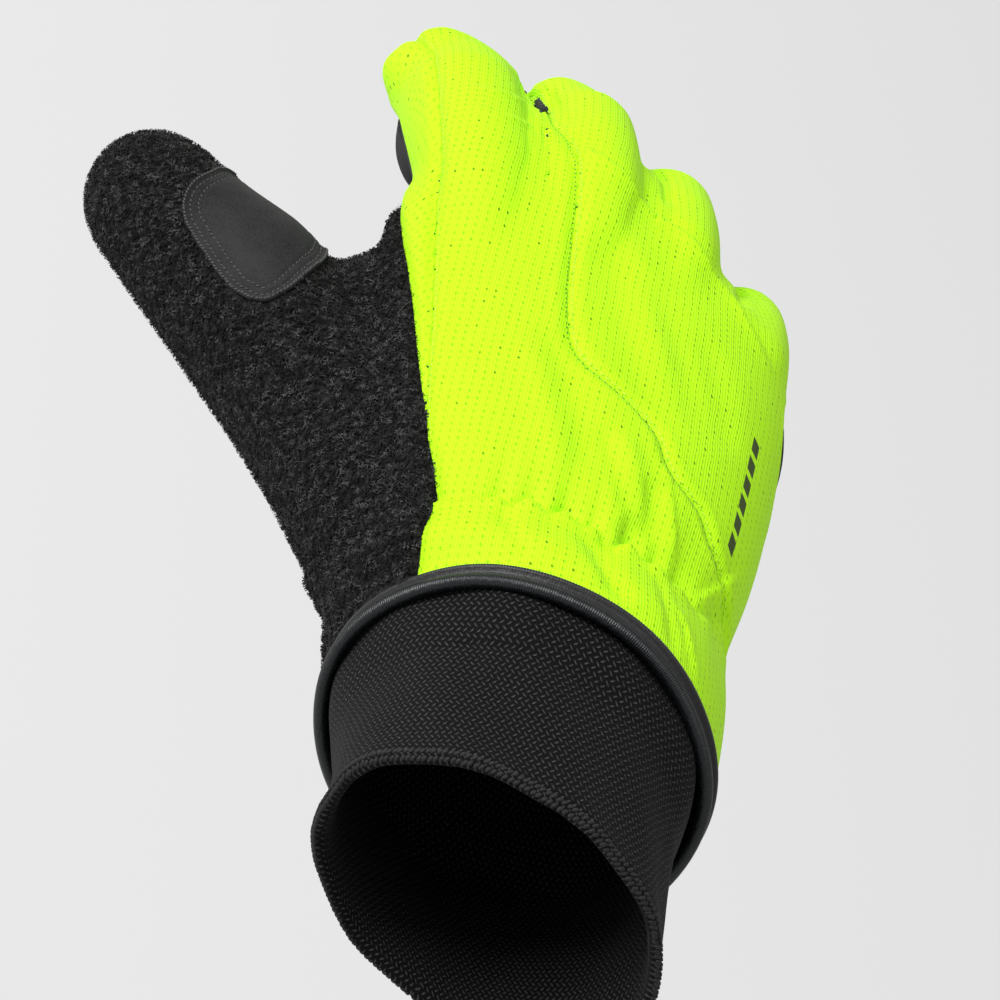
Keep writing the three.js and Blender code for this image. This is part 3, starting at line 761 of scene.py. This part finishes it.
class Finish:
    """A node material under construction."""

    def __init__(self, name, roughness=0.9, sheen=0.0, sheen_roughness=0.5, specular=0.5):
        self.material = bpy.data.materials.new(name)
        self.material.use_nodes = True
        self.tree = self.material.node_tree
        self.shader = self.tree.nodes["Principled BSDF"]
        self.shader.inputs["Roughness"].default_value = roughness
        self.shader.inputs["Sheen Weight"].default_value = sheen
        self.shader.inputs["Sheen Roughness"].default_value = sheen_roughness
        self.shader.inputs["Specular IOR Level"].default_value = specular

    def feed(self, socket, value):
        if isinstance(value, bpy.types.NodeSocket):
            self.tree.links.new(value, socket)
        elif value is not None:
            socket.default_value = value

    def add(self, kind, *inputs, out=0, **values):
        node = self.tree.nodes.new("ShaderNode" + kind)
        for key, value in values.items():
            setattr(node, key, value)
        for socket, value in zip([s for s in node.inputs if s.enabled], inputs):
            self.feed(socket, value)
        return [s for s in node.outputs if s.enabled][out]

    def math(self, operation, *inputs):
        return self.add("Math", *inputs, operation=operation)

    def product(self, first, *others):
        for value in others:
            first = self.math("MULTIPLY", first, value)
        return first

    def step(self, value, low, high, to_low=0.0, to_high=1.0):
        return self.add("MapRange", value, low, high, to_low, to_high, interpolation_type="SMOOTHSTEP")

    def mix(self, share, a, b):
        return self.add("Mix", share, a, b, data_type="RGBA")

    def noise(self, vector, scale, detail=2.0, rough=0.5):
        return self.add("TexNoise", vector, scale, detail, rough)

    def place(self):
        return self.add("TexCoord", out=3)

    def weave(self):
        """The two coordinates of the panel's own map, in millimetres, a little uneven."""
        flat = self.add("UVMap", uv_map="weave")
        wander = self.add("TexNoise", flat, 0.09, 1.0, 0.5, out=1)
        moved = self.add("VectorMath", wander, (0.5, 0.5, 0.5), operation="SUBTRACT")
        moved = self.add("VectorMath", moved, (0.9, 0.9, 0), operation="MULTIPLY")
        moved = self.add("VectorMath", flat, moved, operation="ADD")
        parts = self.tree.nodes.new("ShaderNodeSeparateXYZ")
        self.feed(parts.inputs[0], moved)
        return parts.outputs[0], parts.outputs[1]

    def repeat(self, value, pitch):
        """The place within each pitch, from its middle."""
        return self.math("SUBTRACT", self.math("MODULO", value, pitch), pitch / 2)

    def wave(self, value, pitch, shift=0.0):
        """0 to 1 and back over each pitch."""
        turn = self.math("MULTIPLY_ADD", value, 2 * math.pi / pitch, shift)
        return self.math("MULTIPLY_ADD", self.math("SINE", turn), 0.5, 0.5)

    def spot(self, x, y, half_x, half_y, low, high):
        """1 at the middle of an oval and 0 outside it."""
        x = self.math("DIVIDE", x, half_x)
        y = self.math("DIVIDE", y, half_y)
        far = self.math("ADD", self.math("MULTIPLY", x, x), self.math("MULTIPLY", y, y))
        return self.step(far, low, high, 1.0, 0.0)

    def colour(self, value):
        self.feed(self.shader.inputs["Base Color"], value)

    def under(self, value, limit, soft):
        """1 below the limit and 0 above it, over a soft edge."""
        return self.step(value, limit - soft / 2, limit + soft / 2, 1.0, 0.0)

    def bump(self, height, distance):
        node = self.tree.nodes.new("ShaderNodeBump")
        node.inputs["Distance"].default_value = distance
        node.inputs["Strength"].default_value = 1.0
        self.feed(node.inputs["Height"], height)
        self.feed(self.shader.inputs["Normal"], node.outputs[0])


# The knits' pitches, in the millimetres of the panels' maps
EYELET_ACROSS, EYELET_ALONG = 1.95, 1.9
RIB_PITCH, LOOP_PITCH = 0.65, 0.63
PURL_ACROSS, PURL_ALONG = 1.44, 1.15

# The printed row of slanted dashes: where it starts, the way it runs and the way it faces
PRINT_AT = tuple(c * MM for c in (33.3, 94, 17))
PRINT_ALONG = Vector((4.9, 37.3, -1.4)).normalized()
PRINT_OUT = Vector((0.55, 0, 0.83)).normalized()
PRINT_ACROSS = PRINT_ALONG.cross(PRINT_OUT).normalized()
PRINT_SLANT = 0.45
PRINT_LENGTH = 37 * MM
PRINT_HALF_WIDTH = 1.2 * MM
PRINT_REACH = 9.25 * MM
DASH_PITCH = 6.2 * MM
DASH_START, DASH_END = 0.3 * MM, 4.7 * MM
PRINT_EDGE = 0.2 * MM


def printed_dashes(f, place):
    rel = f.add("VectorMath", place, PRINT_AT, operation="SUBTRACT")
    along, across, proud = (
        f.add("VectorMath", rel, tuple(way), operation="DOT_PRODUCT")
        for way in (PRINT_ALONG, PRINT_ACROSS, PRINT_OUT)
    )
    slanted = f.math("MULTIPLY_ADD", across, PRINT_SLANT, along)
    dash = f.math("MODULO", f.math("ADD", slanted, 10 * DASH_PITCH), DASH_PITCH)
    return f.product(
        f.step(dash, DASH_START - PRINT_EDGE / 2, DASH_START + PRINT_EDGE / 2),
        f.under(dash, DASH_END, PRINT_EDGE),
        f.under(f.math("ABSOLUTE", across), PRINT_HALF_WIDTH, PRINT_EDGE),
        f.step(slanted, -PRINT_EDGE / 2, PRINT_EDGE / 2),
        f.under(slanted, PRINT_LENGTH, PRINT_EDGE),
        f.under(f.math("ABSOLUTE", proud), PRINT_REACH, 0.5 * MM),
    )


def eyelet_knit():
    f = Finish("neon_knit", 0.68, 0.03, 0.25, 0.14)
    u, v = f.weave()
    column = f.math("FLOOR", f.math("DIVIDE", u, EYELET_ACROSS))
    x = f.repeat(f.math("ADD", u, 1000 * EYELET_ACROSS), EYELET_ACROSS)
    third = f.math("MODULO", f.math("ADD", column, 1000.0), 3.0)
    shifted = f.math("ADD", f.math("MULTIPLY_ADD", third, 0.12, v), 1000 * EYELET_ALONG)
    row = f.math("FLOOR", f.math("DIVIDE", shifted, EYELET_ALONG))
    y = f.repeat(shifted, EYELET_ALONG)
    cell = f.add("CombineXYZ", column, row, 0.0)
    chance = f.add("TexWhiteNoise", cell, noise_dimensions="3D")
    hole = f.spot(f.math("MULTIPLY_ADD", y, 0.25, x), y, 0.26, 0.42, 0.35, 1.4)
    ribs = f.wave(u, RIB_PITCH, 1.57)
    loops = f.wave(f.math("MULTIPLY_ADD", ribs, 0.3, v), LOOP_PITCH)
    knit = f.math("MULTIPLY_ADD", ribs, 0.72, f.math("MULTIPLY", loops, 0.28))
    depth = f.math("MULTIPLY", hole, f.step(chance, 0.0, 1.0, 0.5, 1.0))
    # Painted light and shade: the rib crests are painted a lighter, slightly bluer neon and the grooves
    # between them a darker neon.
    base = f.mix(f.step(knit, 0.1, 0.85), (0.40, 0.815, 0.002, 1), (0.452, 0.875, 0.012, 1))
    # Painted shade in the eyelets: the holes are painted dark green, a few of them darker still.
    deep = f.mix(f.step(chance, 0.93, 0.99), (0.25, 0.58, 0.0, 1), (0.12, 0.25, 0.0, 1))
    base = f.mix(depth, base, deep)
    place = f.place()
    inked = f.math("MULTIPLY", printed_dashes(f, place), 0.94)
    f.colour(f.mix(inked, base, (0.022, 0.024, 0.018, 1)))
    fine = f.noise(place, 2600.0, 2.0, 0.6)
    height = f.math("SUBTRACT", f.math("MULTIPLY_ADD", fine, 0.25, knit), f.math("MULTIPLY", depth, 1.6))
    f.bump(height, 0.00008)
    return f.material


def curly_fleece():
    f = Finish("black_fleece", 0.95, 0.03, 0.4, 0.08)
    place = f.place()
    curl = f.noise(place, 900.0, 3.0, 0.6)
    clump = f.noise(place, 330.0, 2.0, 0.5)
    # Painted light and shade: the fleece is near-black where the curl and clump noises are low, as shade in
    # its hollows, and lighter grey on the lit curls.
    shade = f.math("MULTIPLY", f.step(curl, 0.32, 0.68), f.step(clump, 0.3, 0.65, 0.45, 1.0))
    f.colour(f.mix(shade, (0.0006, 0.0006, 0.0006, 1), (0.022, 0.022, 0.022, 1)))
    f.bump(f.math("ADD", curl, clump), 0.0006)
    return f.material


def tuft_fleece():
    f = Finish("fleece_curl", 0.85, 0.03, 0.4, 0.2)
    # Painted light and shade: the tufts are near-black in places and lighter grey elsewhere, for shaded and
    # lit curls.
    shade = f.noise(f.place(), 520.0, 2.0, 0.6)
    f.colour(f.mix(f.step(shade, 0.42, 0.72), (0.0006, 0.0006, 0.0006, 1), (0.058, 0.058, 0.058, 1)))
    return f.material


def brushed_suede(name, dark, light):
    f = Finish(name, 0.92, 0.04, 0.5, 0.1)
    place = f.place()
    grain = f.noise(place, 2200.0, 3.0, 0.65)
    cloud = f.noise(place, 60.0, 2.0, 0.5)
    shade = f.math("MULTIPLY_ADD", cloud, 0.6, f.math("MULTIPLY", grain, 0.6))
    f.colour(f.mix(f.step(shade, 0.35, 0.8), (dark, dark, dark * 1.03, 1), (light, light, light * 1.04, 1)))
    f.bump(grain, 0.00012)
    return f.material


def purl_knit():
    f = Finish("rib_knit", 0.85, 0.02, 0.5, 0.12)
    u, v = f.weave()
    row = f.math("FLOOR", f.math("DIVIDE", v, PURL_ALONG))
    odd = f.math("MODULO", f.math("ADD", row, 1000.0), 2.0)
    x = f.math("MULTIPLY_ADD", odd, PURL_ACROSS / 2, f.math("ADD", u, 1000 * PURL_ACROSS))
    x = f.repeat(x, PURL_ACROSS)
    y = f.repeat(f.math("ADD", v, 1000 * PURL_ALONG), PURL_ALONG)
    lean = f.math("MULTIPLY_ADD", odd, 2.0, -1.0)
    tilt = f.math("MULTIPLY", f.math("MULTIPLY", y, lean), 0.75)
    loop = f.spot(f.math("ADD", x, tilt), y, PURL_ACROSS / 4, 0.56, 0.1, 1.1)
    place = f.place()
    yarn = f.noise(place, 1900.0, 2.0, 0.6)
    # Painted shade: the knit is near-black between its loops and lighter on the loops themselves.
    shade = f.math("MULTIPLY", loop, f.step(yarn, 0.25, 0.75, 0.35, 1.0))
    f.colour(f.mix(shade, (0.0004, 0.0004, 0.0004, 1), (0.056, 0.056, 0.057, 1)))
    f.bump(f.math("MULTIPLY_ADD", yarn, 0.3, loop), 0.0008)
    return f.material


def thread(name, colour, roughness=0.6, sheen=0.1):
    f = Finish(name, roughness, sheen, 0.5, 0.4)
    twist = f.noise(f.place(), 1500.0, 1.0, 0.5)
    darker = tuple(c * 0.55 for c in colour)
    f.colour(f.mix(f.step(twist, 0.3, 0.7), (*darker, 1), (*colour, 1)))
    f.bump(twist, 0.0001)
    return f.material


def floor_paint():
    f = Finish("floor_paint", 0.95, 0.0, 0.5, 0.1)
    f.colour((0.588, 0.588, 0.588, 1))
    return f.material


neon = eyelet_knit()
fleece = curly_fleece()
palm_suede = brushed_suede("palm_suede", 0.006, 0.020)
patch_suede = brushed_suede("patch_suede", 0.009, 0.029)
lining = thread("lining", (0.015, 0.015, 0.016), 0.95)
tape = thread("edge_tape", (0.007, 0.007, 0.008), 0.5)
piping = thread("piping_cord", (0.006, 0.008, 0.009), 0.36, 0.0)
rib = purl_knit()
dark_thread = thread("dark_thread", (0.007, 0.007, 0.008), 0.75, 0.02)
pale_thread = thread("pale_thread", (0.05, 0.05, 0.05), 0.5)
neon_thread = thread("neon_thread", (0.62, 0.98, 0.03), 0.6)
# Painted shade: dark green for the shade inside the needle holes beside the yoke seam.
stitch_hole_shade = thread("stitch_hole_painted_shade", (0.16, 0.32, 0.0), 0.9)


def dress(obj, slot, *finishes, smooth=True):
    """Gives a finished piece its materials and its body. The slot it is handed is not used."""
    obj.data.materials.clear()
    for finish in finishes:
        obj.data.materials.append(finish)
    if smooth:
        obj.data.shade_smooth()
    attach(obj, "root")
    return obj


FINISH = {
    "back_inner": ("neon_knit", neon),
    "back_outer": ("neon_knit", neon),
    "index_side": ("neon_knit", neon),
    "thumb_fleece": ("black_fleece", fleece),
    "palm": ("palm_suede", palm_suede),
}
for name, obj in panels.items():
    slot, finish = FINISH[name]
    dress(obj, slot, finish, lining)
    modifier(obj, "SOLIDIFY", thickness=WALL, offset=-1, material_offset=1, material_offset_rim=1)
    if len(obj.data.polygons) > PANEL_TRIANGLES:
        modifier(obj, "DECIMATE", ratio=PANEL_TRIANGLES / len(obj.data.polygons))
    obj.data.shade_smooth()
    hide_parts(name)


def panel_line(name, level, other, reach=3.0):
    """Lines at a distance, in millimetres, from the seam that a panel shares with another one."""
    rows, faces, away = kept[name]
    column = FIRST_DISTANCE + PANELS.index(other)
    found = []
    for line in level_lines(rows, faces, away, level * MM):
        near = line[:, column] < (level + reach) * MM
        near &= np.linalg.norm(line[:, :3] / MM - VALLEY, axis=1) > VALLEY_UNSEWN
        edges = np.flatnonzero(np.diff(np.concatenate([[0], near.astype(int), [0]])))
        found += [line[a:b] for a, b in zip(edges[::2], edges[1::2]) if (b - a) * LINE_STEP > 6 * MM]
    return found


STITCHES = [
    # name, panel, distance from the seam, its neighbour, pitch, length, radius, lift, flatness, finish
    ("yoke_stitches", "back_outer", 0.75, "back_inner", 1.55, 1.15, 0.20, 0.06, 0.8, neon_thread),
    # Flat dark marks on the knit beside the seam: painted shade in the needle holes.
    ("yoke_hole_shade_marks", "back_inner", 0.55, "back_outer", 1.55, 0.62, 0.26, 0.0, 0.35, stitch_hole_shade),
    ("side_stitches", "back_inner", 0.7, "index_side", 1.5, 1.0, 0.17, 0.04, 0.8, neon_thread),
]
for name, panel, level, other, pitch, length, radius, lift, flat, finish in STITCHES:
    line = panel_line(panel, level, other)
    made = sewn(name, line, pitch * MM, length * MM, radius * MM, lift * MM, flat)
    dress(made, "neon_knit", finish)

# Thumb patch
PATCH_MARGIN = 1.0 * MM
PATCH_RAISED = 0.55 * MM
PATCH_WALL = 0.75 * MM
PATCH_ROWS = (1.5 * MM, 3.3 * MM)
PATCH_EDGE = 0.35 * MM


def thumb_patch():
    """The skin under the patch's node, lifted and given its own wall, sunk along its stitches."""
    rows, faces, _ = kept["thumb_fleece"]
    rows, low, _ = split(rows, faces, rows[:, PATCH_DISTANCE] - PATCH_MARGIN, SNAP)
    rows, low = trimmed(rows, low)
    inside = seam_distance(rows[:, :3], boundary_edges(low))
    raised = PATCH_RAISED + 0.35 * MM * bell(inside, 0, 0.8 * MM)
    raised -= 0.45 * MM * bell(inside, PATCH_ROWS[0], 0.5 * MM)
    raised -= 0.4 * MM * bell(inside, PATCH_ROWS[1], 0.5 * MM)
    rows[:, :3] += rows[:, 3:6] * raised[:, None]
    patch = new_object("thumb_patch_panel", mesh_from("thumb_patch", rows[:, :3], low))
    modifier(patch, "SOLIDIFY", thickness=PATCH_WALL, offset=-1)
    dress(patch, "patch_suede", patch_suede)
    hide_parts("thumb_patch")
    double_row = [line for place in PATCH_ROWS for line in level_lines(rows, low, inside, place)]
    edge = level_lines(rows, low, inside, PATCH_EDGE)
    for name, lines, pitch, radius, slant in (
        ("patch_stitches", double_row, 1.3 * MM, 0.19 * MM, 0.3),
        ("patch_whipping", edge, 0.9 * MM, 0.22 * MM, 0.5),
    ):
        made = sewn(name, lines, pitch, 0.8 * MM, radius, 0.05 * MM, 0.8, slant)
        dress(made, "patch_suede", pale_thread)
    return patch


patch = thumb_patch()

# Curled tufts of the fleece
TUFTS = 30000
TUFT_SEED = 7


def tufts(name, rows, faces, count, seed, skip):
    """Ribbons of five triangles, each rooted in the fleece, risen and curled over."""
    rng = np.random.default_rng(seed)
    a, b, c = (rows[faces[:, k]] for k in range(3))
    area = np.linalg.norm(np.cross(b[:, :3] - a[:, :3], c[:, :3] - a[:, :3]), axis=1)
    pick = rng.choice(len(faces), count, p=area / area.sum())
    s, t = rng.random(count), rng.random(count)
    flip = s + t > 1
    s[flip], t[flip] = 1 - s[flip], 1 - t[flip]
    at = a[pick] + (b - a)[pick] * s[:, None] + (c - a)[pick] * t[:, None]
    at = at[~skip(at)]
    p, n = at[:, :3], at[:, 3:6]
    n = n / np.linalg.norm(n, axis=1, keepdims=True)
    r = rng.normal(size=p.shape)
    lay = r - n * (r * n).sum(1, keepdims=True)
    lay /= np.linalg.norm(lay, axis=1, keepdims=True)
    side = np.cross(n, lay)
    length = rng.uniform(0.5, 1.15, len(p))[:, None] * MM
    wide = rng.uniform(0.08, 0.15, len(p))[:, None] * MM
    curl = rng.uniform(-0.5, 0.5, len(p))[:, None]
    root = p - n * 0.15 * MM
    knee = root + n * length * 0.62 + lay * length * 0.25
    bend = root + n * length * 0.72 + lay * length * 0.70 + side * length * curl * 0.4
    tip = root + n * length * 0.45 + lay * length * 1.0 + side * length * curl
    half = side * wide
    points = [root - half, root + half, knee - half, knee + half, bend - half * 0.8, bend + half * 0.8, tip]
    points = np.stack(points, 1)
    base = np.array([(0, 1, 3), (0, 3, 2), (2, 3, 5), (2, 5, 4), (4, 5, 6)])
    tri = (base[None] + 7 * np.arange(len(p))[:, None, None]).reshape(-1, 3)
    return new_object(name, mesh_from(name, points.reshape(-1, 3), tri))


patch_tree = BVHTree.FromPolygons(
    [v.co for v in patch.data.vertices], [p.vertices for p in patch.data.polygons]
)


def bare(at):
    """No tufts stand on the patch or in the binding."""
    near = np.array([patch_tree.find_nearest(p)[3] for p in at[:, :3].tolist()])
    return (near < 0.5 * MM) | (rim_distance(at[:, :3]) < SHELL_START + 1.0 * MM)


rows, faces, _ = kept["thumb_fleece"]
made = tufts("fleece_tufts", rows, faces, TUFTS, TUFT_SEED, bare)
dress(made, "black_fleece", tuft_fleece(), smooth=False)


# The knit cuff
CUFF_TURN, CUFF_TIP = 19, -1
CUFF_VOXEL = 0.8 * MM
CUFF_MIDDLE = np.array([(0, 0, 0), (1.2, 21, -3), (2.4, 35, -5.6), (3.3, 45, -6.8), (3.5, 70, -4.2)]) * MM
# Length of knit round the cuff, in the millimetres of its map
CUFF_ROUND = 216.48
CUFF_OUTSIDE = 33.4 * MM
SNUG = 1.5 * MM
HEM_ROWS = (0.55 * MM, 1.75 * MM)


def cuff_uv(tube, tri, angle, along):
    """A map round the cuff and along it, in millimetres."""
    corner = tri.ravel()
    around = angle[corner].reshape(-1, 3)
    around = np.where(around - around[:, :1] > math.pi, around - 2 * math.pi, around)
    around = np.where(around - around[:, :1] < -math.pi, around + 2 * math.pi, around)
    uv = np.stack([around.ravel() / (2 * math.pi) * CUFF_ROUND, along[corner] / MM], 1)
    tube.data.uv_layers.new(name="weave").data.foreach_set("uv", uv.astype(np.float32).ravel())


def knit_cuff():
    """The knit tube, wavy and snug under the piping, with the loops of its hem."""
    rough = copy_of("knit_cuff_tube", "knit_cuff")
    modifier(rough, "REMESH", mode="VOXEL", voxel_size=CUFF_VOXEL)
    co, tri = points_of(rough.data), triangles_of(rough.data)
    bpy.data.objects.remove(rough)
    co = Skin(co, tri).smooth(co, 25)
    axis, side, up = axes(CUFF_TURN, CUFF_TIP)
    s = co @ axis
    mid = np.stack([np.interp(s, CUFF_MIDDLE @ axis, CUFF_MIDDLE[:, k]) for k in range(3)], 1)
    rel = co - mid
    angle = np.arctan2(rel @ side, rel @ up)
    radius = np.linalg.norm(rel - np.outer(rel @ axis, axis), axis=1)
    out = rel / radius[:, None]
    waves = 0.35 * MM * np.sin(angle * 5 + 0.8) * np.sin(s / (9 * MM))
    waves += 0.3 * MM * np.sin(angle * 9 + s / (7 * MM))
    snug = SNUG * rise(rim_distance(co) / MM, -16, -3) * (radius > CUFF_OUTSIDE)
    co = co + out * (waves + snug)[:, None]
    tube = new_object("knit_cuff_tube", mesh_from("knit_cuff_tube", co, tri))
    cuff_uv(tube, tri, angle, s)
    dress(tube, "rib_knit", rib)
    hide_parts("knit_cuff")

    rows = np.concatenate([co, Skin(co, tri).normals()], 1)
    outside = (out * rows[:, 3:6]).sum(1) > 0.2
    least = radius[outside].mean() - 1.5 * MM
    lines = [line for place in HEM_ROWS for line in level_lines(rows, tri, s - s.min(), place)]
    hem = [x for x in lines if np.linalg.norm(x[:, :3] - x[:, :3].mean(0), axis=1).mean() > least]
    made = sewn("hem_loops", hem, 1.12 * MM, 1.3 * MM, 0.52 * MM, 0.0, 0.8, 0.7)
    dress(made, "rib_knit", dark_thread)


knit_cuff()


# Binding tape and piping round the rim


def spun(name, outline, steps):
    """An outline (outwards, ahead) in millimetres from the rim, spun round the cuff."""
    mesh = bpy.data.meshes.new(name)
    co = [RIM_MIDDLE + RIM_UP * (RIM_RADIUS + a * MM) + RIM_AXIS * b * MM for a, b in outline]
    count = len(co)
    mesh.from_pydata(co, [(i, (i + 1) % count) for i in range(count)], [])
    obj = new_object(name, mesh)
    edit(
        obj,
        lambda: bpy.ops.mesh.spin(steps=steps, angle=2 * math.pi, center=RIM_MIDDLE, axis=RIM_AXIS),
        lambda: bpy.ops.mesh.select_all(action="SELECT"),
        lambda: bpy.ops.mesh.remove_doubles(threshold=0.01 * MM),
        lambda: bpy.ops.mesh.normals_make_consistent(inside=False),
    )
    return obj


def ribbed(obj, middle, pitch, depth):
    """Fine ribs across a hoop: its points move from its own middle line in and out."""
    co = points_of(obj.data)
    rel = co - np.array(RIM_MIDDLE)
    a = np.arctan2(rel @ np.array(RIM_SIDE), rel @ np.array(RIM_UP))
    out = np.outer(np.sin(a), RIM_SIDE) + np.outer(np.cos(a), RIM_UP)
    heart = np.array(RIM_MIDDLE) + out * (RIM_RADIUS + middle[0] * MM)
    heart = heart + np.array(RIM_AXIS) * middle[1] * MM
    count = round(2 * math.pi * RIM_RADIUS / (pitch * MM))
    size = 1 + depth * np.cos(a * count)
    slow = 0.18 * MM * np.sin(3 * a + 1) + 0.12 * MM * np.sin(7 * a)
    move_points(obj.data, heart + (co - heart) * size[:, None] + out * slow[:, None])


# Outlines (outwards, ahead) in millimetres, and the steps of their spins
BINDING = [
    (-2.5, 1.9), (-2.5, 4.3), (-0.5, 4.6), (0.3, 4.5), (0.75, 4.1), (0.8, 3.6), (0.5, 3.2), (-0.1, 3.0),
    (-0.3, 2.5), (-0.35, 1.9), (-0.9, 1.6),
]
BINDING_HEART, BINDING_STEPS = (-0.6, 3.0), 1600
CORD_HEART, CORD_RADIUS, CORD_SIDES, CORD_STEPS = (-0.7, 0.1), 1.42, 14, 2080

binding = spun("binding_tape", BINDING, BINDING_STEPS)
ribbed(binding, BINDING_HEART, 0.55, 0.03)
dress(binding, "edge_tape", tape)
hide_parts("cuff_binding")

turns = [2 * math.pi * k / CORD_SIDES for k in range(CORD_SIDES)]
cord_outline = [
    (CORD_HEART[0] + CORD_RADIUS * math.cos(t), CORD_HEART[1] + CORD_RADIUS * math.sin(t)) for t in turns
]
cord = spun("piping_hoop", cord_outline, CORD_STEPS)
ribbed(cord, CORD_HEART, 0.467, 0.055)
dress(cord, "piping_cord", piping)
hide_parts("cuff_piping")

# Floor, light and camera
FLOOR_SIZE, FLOOR_LEVEL = 14, -0.62
bpy.ops.mesh.primitive_plane_add(size=FLOOR_SIZE, location=(0, 0, FLOOR_LEVEL))
floor = bpy.context.active_object
floor.name = "floor"
floor.data.materials.append(floor_paint())

scene = bpy.context.scene
scene.view_settings.view_transform = "Standard"
world = bpy.data.worlds.new("studio")
scene.world = world
world.use_nodes = True
background = world.node_tree.nodes["Background"]
background.inputs["Color"].default_value = (1, 1, 1, 1)
background.inputs["Strength"].default_value = 0.45


def softbox(name, place, aim, size, watts):
    bpy.ops.object.light_add(type="AREA", location=place)
    lamp = bpy.context.active_object
    lamp.name = name
    lamp.data.size = size
    lamp.data.energy = watts
    lamp.rotation_euler = (Vector(aim) - Vector(place)).to_track_quat("-Z", "Y").to_euler()


GLOVE = (0, 0.12, 0)
softbox("key_light", (-4.4, 0.6, 3.4), GLOVE, 3.2, 420)
softbox("top_light", (1.0, -1.0, 5.0), GLOVE, 3.5, 90)

# The camera looks from the wrist along the back of the hand, rolled to the left
LOOK = Vector((3.6, 108.2, -2.5)) * MM
BACK = Vector((-0.250, -0.712, 0.656)).normalized()
RIGHT = Vector((0.890, 0.096, 0.444))
UP = Vector((-0.379, 0.696, 0.609))
EYE = LOOK + BACK * 0.8
LENS = 144.7
SENSOR = 36
aim = LOOK - RIGHT * 10.97 * MM + UP * 1.08 * MM
back = (EYE - aim).normalized()
right = (RIGHT - back * RIGHT.dot(back)).normalized()
up = back.cross(right)
camera = bpy.data.objects.new("camera", bpy.data.cameras.new("camera"))
scene.collection.objects.link(camera)
camera.data.lens = LENS
camera.data.sensor_width = SENSOR
camera.matrix_world = Matrix((
    (right.x, up.x, back.x, EYE.x),
    (right.y, up.y, back.y, EYE.y),
    (right.z, up.z, back.z, EYE.z),
    (0, 0, 0, 1),
))
scene.camera = camera
